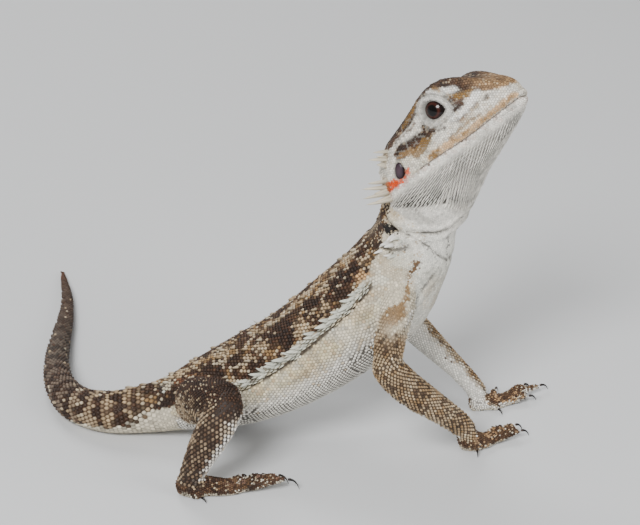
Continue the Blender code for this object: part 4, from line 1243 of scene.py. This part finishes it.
tiles = Tiles()


def room_at(v, share):
    """The room, in mm, that a scale at vertex v keeps round its root: a share of its width or length."""
    return share * pitch_rows[v] * min(1.0, ratio_rows[v])


def try_tile(p):
    """Pulls a proposal onto the skin and keeps it if it has room."""
    hit, _, face, far = skin_tree.find_nearest(Vector(p) * MM)
    if hit is None or far > 0.5 * MM:
        return None
    v = face_rows[face]
    if bare_rows[v]:
        return None
    place = tuple(hit / MM)
    if tiles.too_near(place, normal_rows[v], room_at(v, NEAREST)):
        return None
    tiles.add(place, v)
    return len(tiles.places) - 1


queue = deque()
for name in SEEDS:
    mine = np.flatnonzero((owner == name) & ~bare)
    centre = P[mine].mean(0) + (0, -6, 3)
    first = mine[np.argmin(np.linalg.norm(P[mine] - centre, axis=1))]
    made = try_tile(tuple(P[first]))
    if made is not None:
        queue.append(made)
while queue:
    t = queue.popleft()
    x, y, z = tiles.places[t]
    v = tiles.vertex[t]
    n, f, w = normal_rows[v], lie_rows[v], pitch_rows[v]
    s = (f[1] * n[2] - f[2] * n[1], f[2] * n[0] - f[0] * n[2], f[0] * n[1] - f[1] * n[0])
    long = w * ratio_rows[v]
    if square_rows[v]:
        steps = ((w, 0), (-w, 0), (0, long), (0, -long))
    else:
        row = long * ROW_SHARE
        steps = ((w, 0), (-w, 0), (w / 2, row), (-w / 2, row), (w / 2, -row), (-w / 2, -row))
    for a, b in steps:
        made = try_tile((x + s[0] * a + f[0] * b, y + s[1] * a + f[1] * b, z + s[2] * a + f[2] * b))
        if made is not None:
            queue.append(made)
laid = len(tiles.places)
for v in range(len(P)):
    if not bare_rows[v] and not tiles.too_near(P[v], normal_rows[v], room_at(v, GAP_FILL)):
        tiles.add(tuple(P[v]), v)
root = np.array(tiles.places)
at = np.array(tiles.vertex)
print(laid, "scales laid,", len(root) - laid, "gaps filled")

# %% [markdown]
# ## From places to scales
# Geometry Nodes sets one shape on every place. The places carry what a scale needs: its kind, its
# turn, its size, its colour, and the point of the skin that it grows from.

# %% Colour of each scale
SCALE_SEED = 11
STRAY = 0.38  # mm: how far off a scale may take its colour, so that no marking has a clean edge
CLUMP = 1.3  # mm: dark and pale scales come in clumps of about this size
rng = np.random.default_rng(SCALE_SEED)
root_n, root_lie = N[at], lie[at]
root_kind, root_pitch, root_ratio = kind[at].copy(), pitch[at], ratio[at]
vertex_tree = KDTree(len(P))
for k, p in enumerate(P):
    vertex_tree.insert(p, k)
vertex_tree.balance()
stray = STRAY * np.where(is_head[at], 0.45, 1.0)[:, None] * rng.normal(size=root.shape)
picked = np.array([vertex_tree.find(p)[1] for p in root + stray])
picked = np.where(is_head[picked] == is_head[at], picked, at)
root_tint = paint[picked]
clump = mottle(root, CLUMP, 21, 1)
draw = rng.random(len(root)) + np.where(on_limb[at], 0.25, 0.75) * clump
draw = np.argsort(np.argsort(draw)) / len(root)
dark_scale, pale_scale = draw < freckle[picked], draw > 1 - fleck[picked]
dark_tone = PALETTE["dark"] + (PALETTE["umber"] - PALETTE["dark"]) * rng.random((len(root), 1))
pale_tone = PALETTE["cream"] + (PALETTE["bone"] - PALETTE["cream"]) * (0.3 + 0.8 * rng.random((len(root), 1)))
root_tint = np.where(dark_scale[:, None], 0.15 * root_tint + 0.85 * dark_tone, root_tint)
root_tint = np.where(pale_scale[:, None], 0.25 * root_tint + 0.75 * pale_tone, root_tint)
root_tint = np.clip(root_tint * rng.uniform(0.88, 1.10, (len(root), 1)), 0, 0.95)
print(int(dark_scale.sum()), "scales are dark and", int(pale_scale.sum()), "are pale by chance")

# %% Size and turn of each scale
SPINY_SHARE = 0.12  # of the pale scales on the back
# For one unit of each shape, in the order of the kinds: its height in mm, and its length and width
# against the room it has.
HEIGHT = (0.16, 0.30, 0.14, 0.36, 0.50, 1.0)
LENGTHEN = (1.08, 0.98, 1.08, 1.5, 1.0, 1.0)
WIDEN = (1.04, 1.12, 1.04, 1.02, 1.0, 1.0)
NEEDLE_X = (-4.0, 2.0, 8.0, 15.0, 23.0)  # mm in the head's frame, from the rear to the chin
NEEDLE_LONG = (1.9, 2.2, 1.9, 1.5, 0.9)  # mm
on_back = on_body & (above > 3) & (along > 8.5) & (along < 16)
spiny = on_back[at] & pale_scale & (rng.random(len(root)) < SPINY_SHARE)
fringe_here = band_here[at] > 0.4
root_kind[spiny | fringe_here] = SPINE
high, longer, wider = (np.array(table)[root_kind] for table in (HEIGHT, LENGTHEN, WIDEN))
for mask, factor in ((leg_above_foot[at], 0.78), (belly_grid[at], 0.80), (fringe_here, 0.80)):
    wider = wider * np.where(mask, factor, 1.0)
for mask, factor in ((belly[at], 0.80), (leg_above_foot[at], 0.88)):
    longer = longer * np.where(mask, factor, 1.0)
size = np.stack((root_pitch * wider, root_pitch * root_ratio * longer, high * np.sqrt(root_pitch)), axis=1)
size[:, 2] *= 1 - 0.78 * smooth_hide[at]
needles = root_kind == NEEDLE
reach = np.interp(HX[at], NEEDLE_X, NEEDLE_LONG) * (0.6 + 0.4 * ease(-1.0, -2.6, above_mouth[at]))
needle_size = np.stack((0.46 * root_pitch, reach, 0.30 + 0.24 * reach), axis=1)
size = np.where(needles[:, None], needle_size, size) * rng.uniform(0.92, 1.08, (len(root), 1))


def turn_of(ahead, out):
    """The turn, as three angles, that points a shape's y axis down the lie and its z axis out."""
    side = np.cross(ahead, out)
    return np.stack((np.arctan2(ahead[:, 2], out[:, 2]), np.arcsin(np.clip(-side[:, 2], -1, 1)),
                     np.arctan2(side[:, 1], side[:, 0])), axis=1)


turn = turn_of(root_lie, root_n)
print({shape.name: int((root_kind == k).sum()) for k, shape in enumerate(SCALE_SHAPES)})

# %% The tree that sets the scales
def scale_tree():
    """Sets one shape on every place by its stored kind, turn and size, with a slight random turn."""
    tree = bpy.data.node_groups.new("set_scales", "GeometryNodeTree")
    add_sockets(tree, "INPUT", ("Places", "Geometry"), ("Shapes", "Collection"), ("Finish", "Material"),
                ("Seed", "Int", 0), ("Waver", "Float", 0.06))
    add_sockets(tree, "OUTPUT", ("Coat", "Geometry"))
    new, join = tree.nodes.new, tree.links.new
    start, end = new("NodeGroupInput"), new("NodeGroupOutput")

    def stored(name, kind_of):
        made = new("GeometryNodeInputNamedAttribute")
        made.data_type = kind_of
        made.inputs["Name"].default_value = name
        return made.outputs["Attribute"]

    def scaled(vector, factor):
        """A fixed vector times a socket's number, or a socket's vector times a fixed number."""
        made = new("ShaderNodeVectorMath")
        made.operation = "SCALE"
        for value, socket in ((vector, made.inputs[0]), (factor, made.inputs["Scale"])):
            if isinstance(value, bpy.types.NodeSocket):
                join(value, socket)
            else:
                socket.default_value = value
        return made.outputs[0]

    shapes = new("GeometryNodeCollectionInfo")
    shapes.inputs["Separate Children"].default_value = True
    shapes.inputs["Reset Children"].default_value = True
    join(start.outputs["Shapes"], shapes.inputs["Collection"])
    waver = new("FunctionNodeRandomValue")
    waver.data_type = "FLOAT_VECTOR"
    span = scaled((1, 1, 1), start.outputs["Waver"])
    join(scaled(span, -1), waver.inputs["Min"])
    join(span, waver.inputs["Max"])
    join(start.outputs["Seed"], waver.inputs["Seed"])
    turned = new("FunctionNodeRotateRotation")
    turned.rotation_space = "LOCAL"
    join(stored("turn", "FLOAT_VECTOR"), turned.inputs["Rotation"])
    join(waver.outputs["Value"], turned.inputs["Rotate By"])
    setter = new("GeometryNodeInstanceOnPoints")
    setter.inputs["Pick Instance"].default_value = True
    join(start.outputs["Places"], setter.inputs["Points"])
    join(shapes.outputs[0], setter.inputs["Instance"])
    join(stored("kind", "INT"), setter.inputs["Instance Index"])
    join(turned.outputs[0], setter.inputs["Rotation"])
    join(stored("size", "FLOAT_VECTOR"), setter.inputs["Scale"])
    real = new("GeometryNodeRealizeInstances")
    finish = new("GeometryNodeSetMaterial")
    join(setter.outputs[0], real.inputs[0])
    join(real.outputs[0], finish.inputs["Geometry"])
    join(start.outputs["Finish"], finish.inputs["Material"])
    join(finish.outputs[0], end.inputs["Coat"])
    return tree


SCALE_TREE = scale_tree()
sockets = SCALE_TREE.interface.items_tree
TREE_INPUT = {socket.name: socket.identifier for socket in sockets if socket.in_out == "INPUT"}
shape_box = bpy.data.collections.new("scale_shapes")
for shape in SCALE_SHAPES:
    shape_box.objects.link(shape)
print("the tree has", len(SCALE_TREE.nodes), "nodes")

# %% Growing one piece of the coat
BAKE_PATCH = 0.003  # how wide one scale's patch is on the bake map


def plain_mesh(obj, name):
    """The evaluated result of an object's modifiers as a plain mesh, and the object removed."""
    bpy.context.view_layer.update()
    mesh = bpy.data.meshes.new_from_object(obj.evaluated_get(bpy.context.evaluated_depsgraph_get()))
    mesh.name = name
    bpy.data.objects.remove(obj)
    return mesh


def set_scales(name, places, turn, size, kind, tint, uv, finish, seed=SCALE_SEED, waver=0.05, own=0.0):
    """Grows one coat piece: a scale of the given kind, turn, size and tint on every place (all in mm).
    own is how far each point of a scale takes the paint under itself and not the paint at its root."""
    cloud = bpy.data.meshes.new(name)
    cloud.from_pydata((places * MM).tolist(), [], [])
    store(cloud, "turn", "FLOAT_VECTOR", "POINT", turn)
    store(cloud, "size", "FLOAT_VECTOR", "POINT", size * MM)
    store(cloud, "kind", "INT", "POINT", kind)
    store(cloud, "tint", "FLOAT_COLOR", "POINT", np.c_[tint, np.ones(len(tint))])
    store(cloud, "root", "FLOAT_VECTOR", "POINT", places * MM)
    store(cloud, "root_uv", "FLOAT_VECTOR", "POINT", np.c_[uv, np.zeros(len(uv))])
    holder = new_piece(name + "_places", cloud)
    modifier = holder.modifiers.new("scales", "NODES")
    modifier.node_group = SCALE_TREE
    for key, value in (("Shapes", shape_box), ("Finish", finish), ("Seed", seed), ("Waver", waver)):
        modifier[TREE_INPUT[key]] = value
    mesh = plain_mesh(holder, name)
    if own:
        under = [vertex_tree.find(p)[1] for p in points_of(mesh)]
        at_root = fetch(mesh.attributes["tint"].data, "color", 4)[:, :3]
        store(mesh, "tint", "FLOAT_COLOR", "POINT",
              np.c_[at_root * (1 - own) + paint[under] * own, np.ones(len(at_root))])
    add_bake_map(mesh)
    mesh.shade_smooth()
    piece = new_piece(name, mesh)
    print(f"{name}: {len(places)} scales, {len(mesh.polygons)} triangles")
    return piece


def add_bake_map(mesh):
    """Lays each scale's patch round its root's place on the unwrapped skin."""
    centre, patch = (fetch(mesh.attributes[name].data, "vector", 3)[:, :2] for name in ("root_uv", "patch"))
    uv = centre + patch * BAKE_PATCH
    corner = fetch(mesh.loops, "vertex_index", 1, np.int32)[:, 0]
    layer = mesh.uv_layers.new(name="OFBake")
    layer.data.foreach_set("uv", uv[corner].astype(np.float32).ravel())
    for name in ("root_uv", "patch", "turn", "size", "kind"):
        if name in mesh.attributes:
            mesh.attributes.remove(mesh.attributes[name])


# %% The skin and its unwrap
UNWRAP_ANGLE, UNWRAP_MARGIN = math.radians(66), 0.004
skin = new_piece("skin", skin_mesh)
store(skin_mesh, "tint", "FLOAT_COLOR", "POINT", np.c_[skin_paint, np.ones(len(P))])
skin_mesh.materials.clear()
skin_mesh.materials.append(skin_finish)
skin_mesh.shade_smooth()
bpy.context.view_layer.objects.active = skin
skin.select_set(True)
skin_mesh.uv_layers.new(name="OFBake")
bpy.ops.object.mode_set(mode="EDIT")
bpy.ops.mesh.select_all(action="SELECT")
bpy.ops.uv.smart_project(angle_limit=UNWRAP_ANGLE, island_margin=UNWRAP_MARGIN)
bpy.ops.object.mode_set(mode="OBJECT")
vertex_uv = np.zeros((len(P), 2))
vertex_uv[loop_vertex] = fetch(skin_mesh.uv_layers["OFBake"].data, "uv", 2)
root_uv = vertex_uv[at]
print("skin unwrapped onto", np.round(np.ptp(vertex_uv, axis=0), 2))

# %% Grow the coat
MOST_SCALES = 5200  # in one piece
OWN_PAINT = 0.5  # of a head scale's colour is the paint under each of its points
regions = {
    "coat_crown": up_head & crown_part, "coat_face": up_head & ~crown_part, "coat_beard": is_head & ~up_head,
    "coat_tail": is_tail_part, "coat_back": on_body & ~is_tail_part & (above >= 0),
    "coat_flank": on_body & ~is_tail_part & (above < 0), "coat_arms": on_arm, "coat_legs": on_leg,
}
for name, mask in regions.items():
    mine = np.flatnonzero(mask[at])
    mine = mine[np.argsort(along[at[mine]], kind="stable")]
    parts = max(1, math.ceil(len(mine) / MOST_SCALES))
    for k, chosen in enumerate(np.array_split(mine, parts)):
        label = name if parts == 1 else f"{name}_{k + 1}"
        own = OWN_PAINT if name in ("coat_crown", "coat_face") else 0.0
        piece = set_scales(label, root[chosen], turn[chosen], size[chosen], root_kind[chosen],
                           root_tint[chosen], root_uv[chosen], scale_finish, own=own)
        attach(piece, "root")
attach(skin, "root")
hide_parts(*FLESH)

# %% [markdown]
# ## Thorns
# Where an animal is soft, it wears its longest points. Each thorn is a curved cone with a sunk root.
# Most stand in rows: along the flank, behind the head and at the corner of the jaw. A row is only a
# list of roots, each with a direction, a length and a width, so the same tree can set them all.

# %% How a thorn is placed
THORN_SEED = 29
TRUNK_CLEAR = 13  # mm from the body line, outside the skin everywhere
thorn_rng = np.random.default_rng(THORN_SEED)
thorns = []  # root, direction, normal, length, width, tint


def add_thorn(place, direction, length, width, tint, on_skin=True):
    """Notes one thorn; its root is the nearest point of the skin, or the place itself."""
    hit, normal, _, _ = skin_tree.find_nearest(Vector(place) * MM)
    direction = unit(np.asarray(direction, float))
    normal = np.array(normal)
    across = unit(normal - direction * (normal @ direction))
    root_place = np.array(hit) / MM if on_skin else np.array(place)
    thorns.append((root_place, direction, across, length, width, PALETTE[tint]))


def on_trunk(row, angle, side):
    """A place outside the body at a row of the body line and an angle above the flank, and its axes."""
    k = int(np.argmin(np.abs(body_line.share - row)))
    tangent = body_line.tangent[k]
    left = unit(np.cross((0, 0, 1), tangent))
    out, up = left * side, np.cross(tangent, left)
    direction = out * math.cos(math.radians(angle)) + up * math.sin(math.radians(angle))
    return body_line.points[k] + TRUNK_CLEAR * direction, tangent, out, up


print("thorns of the trunk look for their roots from", TRUNK_CLEAR, "mm off the body line")

# %% Fringe, shoulder tuft and head points
FRINGE_ROWS = (11.9, 15.5)  # rows along the body where the fringe begins and ends
FRINGE_STEP = 0.33  # rows
FRINGE_TIERS = (  # shift in steps, degrees above the dark line, length in mm, rise
    (0.0, 2.6, 2.3, 0.05), (0.5, 5.0, 2.9, 0.45), (0.75, 8.0, 2.7, 0.80),
)
SHOULDER_TUFT = (  # row along the body, degrees above the flank, length in mm
    (17.12, 32, 2.0), (17.04, 28, 1.8), (16.83, 27, 2.2), (17.0, 36, 2.4), (16.79, 38, 2.4), (16.92, 44, 2.3),
    (16.88, 33, 2.4), (16.75, 31, 2.0), (17.02, 41, 2.2), (16.72, 43, 2.2), (16.95, 23, 1.6), (17.1, 38, 1.8),
)
NAPE_AND_JAW = (  # root in the head's frame, direction, length and width in mm
    ((-0.8, 8.3, 7.2), (-1, 1.29, 0.52), 3.9, 1.885), ((-1.5, 9.1, 6.0), (-1, 1.50, 0.71), 4.9, 2.175),
    ((-1.9, 9.6, 5.0), (-1, 1.59, 0.89), 2.8, 1.595), ((-4.5, 9.4, 2.9), (-1, 1.50, 1.02), 4.5, 2.175),
    ((-5.4, 9.2, 2.1), (-1, 1.57, 1.04), 5.9, 2.32), ((-5.7, 9.0, 0.9), (-1, 1.48, 0.73), 6.8, 2.465),
    ((-6.2, 8.6, -0.4), (-1, 1.53, 0.71), 6.6, 2.465), ((-1.6, 8.8, 6.6), (-1, 1.3, 0.6), 2.4, 1.45),
    ((-5.4, 9.1, 1.5), (-1, 1.5, 0.6), 3.4, 1.885), ((-6.0, 8.8, 0.2), (-1, 1.5, 0.5), 3.6, 1.885),
)
THORN_SPREAD = 0.12  # how far the direction of a thorn strays from its neighbours'
THORN_DEPTH = 0.6  # against its width
THORN_WAVER = 0.03
for side in (-1, 1):
    for row in np.arange(*FRINGE_ROWS, FRINGE_STEP):
        for shift, height, long, rise in FRINGE_TIERS:
            row_here = row + shift * FRINGE_STEP + thorn_rng.uniform(-0.05, 0.05)
            angle = np.interp(row_here, LINE_ROW, LINE_PHI) + height
            place, tangent, out, up = on_trunk(row_here, angle, side)
            direction = -0.85 * tangent + 0.32 * out + rise * up + thorn_rng.normal(0, THORN_SPREAD, 3)
            long = long * thorn_rng.uniform(0.8, 1.25)
            add_thorn(place, direction, long, 0.40 * long, "chalk")
for side in (-1, 1):
    for row, angle, long in SHOULDER_TUFT:
        place, tangent, out, up = on_trunk(row, angle, side)
        direction = -0.55 * tangent + 0.30 * out + 0.80 * up + thorn_rng.normal(0, THORN_SPREAD, 3)
        add_thorn(place, direction, long, 0.42 * long, "white" if angle > 30 else "chalk")
for side in (-1, 1):
    mirror = np.array((1, side, 1))
    for place, direction, long, wide in NAPE_AND_JAW:
        direction = (np.array(direction) * mirror) @ head_axes
        add_thorn(from_head(np.array(place) * mirror), direction, long, wide, "cream", on_skin=False)
columns = [np.array(column) for column in zip(*thorns)]
thorn_at, thorn_lie, thorn_n, thorn_long, thorn_wide, thorn_tint = columns
nearest_vertex = np.array([vertex_tree.find(p)[1] for p in thorn_at])
thorn_size = np.stack((thorn_wide, thorn_long, thorn_wide * THORN_DEPTH), axis=1)
thorn_shade = thorn_rng.uniform(0.85, 1.0, (len(thorns), 1))
piece = set_scales("thorns", thorn_at, turn_of(thorn_lie, thorn_n), thorn_size, np.full(len(thorns), THORN),
                   thorn_tint * thorn_shade, vertex_uv[nearest_vertex], thorn_finish, THORN_SEED, THORN_WAVER)
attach(piece, "root")

# %% [markdown]
# ## Eyes, ear membranes and claws
# The eyeball is a wet sphere. Its colours go by the distance from the middle of the pupil, which is
# stored on the mesh, so the iris can be made of a colour ramp with a little noise to break it up.

# %% Eyes
EYE_RINGS, EYE_SIDES = 40, 64
PUPIL, IRIS = 1.04, 1.75  # mm


def wet_material(name, stops, roughness, coat, streak):
    """A glossy material whose colour follows an attribute that runs from 0 to 1."""
    made = bpy.data.materials.new(name)
    made.use_nodes = True
    tree = made.node_tree
    shader = tree.nodes["Principled BSDF"]
    join = tree.links.new
    ramp = node(tree, "ValToRGB")
    elements = ramp.color_ramp.elements
    for place, tint in stops:
        spot = elements.new(place) if 0 < place < 1 else elements[-int(place)]
        spot.color = (*colour(tint), 1)
    grain = node(tree, "TexNoise", Scale=2600.0, Detail=3.0)
    join(tree.nodes.new("ShaderNodeTexCoord").outputs["Object"], grain.inputs["Vector"])
    shift = node(tree, "Math", operation="MULTIPLY_ADD")
    join(grain.outputs["Fac"], shift.inputs[0])
    shift.inputs[1].default_value, shift.inputs[2].default_value = streak, -streak / 2
    add = node(tree, "Math", operation="ADD")
    join(attribute(tree, "ring", "Fac"), add.inputs[0])
    join(shift.outputs[0], add.inputs[1])
    join(add.outputs[0], ramp.inputs["Fac"])
    join(ramp.outputs["Color"], shader.inputs["Base Color"])
    shader.inputs["Roughness"].default_value = roughness
    shader.inputs["Specular IOR Level"].default_value = 0.22
    shader.inputs["Coat Weight"].default_value = coat
    shader.inputs["Coat Roughness"].default_value = 0.03
    return made


def turned_ball(name, centre, axes, half_axes, rings, sides):
    """A closed ball with the given half axes (mm); its ring attribute goes from 0 at the front to 1."""
    verts, ring = [], []
    for k in range(1, rings):
        a = math.pi * k / rings
        for j in range(sides):
            b = 2 * math.pi * j / sides
            verts.append((math.sin(a) * math.cos(b), math.sin(a) * math.sin(b), math.cos(a)))
            ring.append(a / math.pi)
    verts += [(0, 0, 1), (0, 0, -1)]
    ring += [0.0, 1.0]
    faces = []
    for k in range(rings - 2):
        for j in range(sides):
            n = (j + 1) % sides
            faces.append((k * sides + j, (k + 1) * sides + j, (k + 1) * sides + n, k * sides + n))
    top, bottom = len(verts) - 2, len(verts) - 1
    last = (rings - 2) * sides
    faces += [(top, j, (j + 1) % sides) for j in range(sides)]
    faces += [(last + j, bottom, last + (j + 1) % sides) for j in range(sides)]
    placed = np.array(verts) * half_axes @ axes + centre
    mesh = bpy.data.meshes.new(name)
    mesh.from_pydata((placed * MM).tolist(), [], faces)
    store(mesh, "ring", "FLOAT", "POINT", ring)
    mesh.shade_smooth()
    return new_piece(name, mesh)


def share_of_ball(distance):
    """The ring value at this distance (mm) from the middle of the pupil, over the ball."""
    return distance / EYEBALL / math.pi


EYE_RAMP = (  # mm from the middle of the pupil, colour
    (0.0, "050303"), (PUPIL, "060403"), (PUPIL + 0.12, "2A130C"), (1.4, "3A1B15"), (IRIS, "22100C"),
    (IRIS + 0.2, "120A08"),
)
EYE_BACK = "0C0706"
eye_stops = [(share_of_ball(distance), tint) for distance, tint in EYE_RAMP] + [(1.0, EYE_BACK)]
eye_finish = wet_material("eye", eye_stops, roughness=0.10, coat=0.15, streak=0.03)
for side, name in ((1, "eye_left"), (-1, "eye_right")):
    mirror = np.array((1, side, 1))
    gaze = (GAZE * mirror) @ head_axes
    level = unit(np.cross(head_up, gaze))
    axes = np.stack((level, np.cross(gaze, level), gaze))
    ball = turned_ball("ball_" + name, from_head(EYE_IN_HEAD * mirror), axes, np.full(3, EYEBALL),
                       EYE_RINGS, EYE_SIDES)
    ball.data.materials.append(eye_finish)
    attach(ball, "root")
    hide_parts(name)
print("eyeballs", 2 * EYEBALL, "mm across")

# %% Ear membranes
DRUM_DEPTH = 0.45  # mm
DRUM_RINGS, DRUM_SIDES = 16, 32
DRUM_OVER = 1.02  # a little wider than the opening, so that no gap shows round it
# The membrane is lighter in its middle, a painted highlight, and darker towards its rim, painted shade in the
# opening.
DRUM_RAMP_WITH_PAINTED_LIGHT = ((0.0, "4A3A42"), (0.25, "33262E"), (0.5, "140E12"), (1.0, "0A0709"))
drum_size = np.array((EAR_WIDE * DRUM_OVER, EAR_LONG * DRUM_OVER, DRUM_DEPTH))
drum_finish = wet_material("eardrum", DRUM_RAMP_WITH_PAINTED_LIGHT, roughness=0.35, coat=0.1, streak=0.12)
for side, name in ((1, "eardrum_left"), (-1, "eardrum_right")):
    mirror = np.array((1, side, 1))
    out = np.array((0, side, 0)) @ head_axes
    axes = np.stack(((EAR_ACROSS * mirror) @ head_axes, (EAR_UP * mirror) @ head_axes, out))
    drum_piece = turned_ball("membrane_" + name, box_middle(name), axes, drum_size, DRUM_RINGS, DRUM_SIDES)
    drum_piece.data.materials.append(drum_finish)
    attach(drum_piece, "root")
    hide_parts(name)
print("ear membranes", 2 * EAR_LONG, "mm long")

# %% Claws
CLAWS = sorted(n for n in nodes if n.startswith("claw"))
CLAW_BASE = 1.1  # mm: how far from the skin a claw takes its darkest colour
CLAW_RAMP = ((0.0, "8C7460"), (0.35, "4A3628"), (0.75, "1E1511"), (1.0, "120D0B"))
claws_bm = bmesh.new()
for name in CLAWS:
    claws_bm.from_mesh(nodes[name].data)
bmesh.ops.remove_doubles(claws_bm, verts=claws_bm.verts, dist=1e-6)
claw_mesh = bpy.data.meshes.new("claws")
claws_bm.to_mesh(claw_mesh)
claws_bm.free()
holder = new_piece("claws_rough", claw_mesh)
holder.modifiers.new("round", "SUBSURF").levels = 1
holder.modifiers["round"].render_levels = 1
claws = new_piece("claws", plain_mesh(holder, "claws"))
claws.data.shade_smooth()
claw_points = points_of(claws.data)
from_skin = np.array([skin_tree.find_nearest(Vector(p) * MM)[3] / MM for p in claw_points])
store(claws.data, "ring", "FLOAT", "POINT", np.clip(from_skin / CLAW_BASE, 0, 1))
claws.data.materials.clear()
claws.data.materials.append(wet_material("claw", CLAW_RAMP, roughness=0.3, coat=0.3, streak=0.1))
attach(claws, "root")
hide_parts(*CLAWS)
print(len(CLAWS), "claws in one piece")


# %% Floor, lights and camera
low, high = (np.array(c) for c in cad_box)
middle = (low + high) / 2
CAMERA_TILT = math.radians(25)  # looking down
CAMERA_FAR = 0.40089  # m
CAMERA_LENS = 110  # mm
AIM = Vector((middle[0] + 0.0069, middle[1] - 0.01422, 0.034))
camera = bpy.data.objects.new("camera", bpy.data.cameras.new("camera"))
camera.data.lens = CAMERA_LENS
camera.data.clip_start = 0.01
camera.location = AIM + Vector((0, -math.cos(CAMERA_TILT), math.sin(CAMERA_TILT))) * CAMERA_FAR
camera.rotation_euler = (math.radians(90) - CAMERA_TILT, 0, 0)
bpy.context.scene.collection.objects.link(camera)
bpy.context.scene.camera = camera


def soft_light(name, place, size, power):
    light = bpy.data.objects.new(name, bpy.data.lights.new(name, "AREA"))
    light.data.shape, light.data.size, light.data.energy = "DISK", size, power
    light.location = AIM + Vector(place)
    light.rotation_euler = (-Vector(place)).to_track_quat("-Z", "Y").to_euler()
    bpy.context.scene.collection.objects.link(light)


soft_light("key", (-0.22, -0.55, 0.50), 0.30, 7.0)
soft_light("fill", (0.55, -0.35, 0.30), 0.45, 2.2)
soft_light("rim", (-0.25, 0.55, 0.55), 0.40, 3.0)
world = bpy.data.worlds.new("studio")
world.use_nodes = True
world.node_tree.nodes["Background"].inputs["Color"].default_value = (0.97, 0.96, 0.94, 1)
world.node_tree.nodes["Background"].inputs["Strength"].default_value = 0.42
bpy.context.scene.world = world
FLOOR = 3.0  # m from the middle to each edge
corners = [(x * FLOOR, y * FLOOR, 0) for x, y in ((-1, -1), (1, -1), (1, 1), (-1, 1))]
floor_mesh = bpy.data.meshes.new("floor")
floor_mesh.from_pydata(corners, [], [(0, 1, 2, 3)])
floor = new_piece("floor", floor_mesh)
floor_finish = bpy.data.materials.new("floor")
floor_finish.use_nodes = True
floor_finish.node_tree.nodes["Principled BSDF"].inputs["Base Color"].default_value = (0.62, 0.63, 0.64, 1)
floor_finish.node_tree.nodes["Principled BSDF"].inputs["Roughness"].default_value = 0.9
floor_mesh.materials.append(floor_finish)
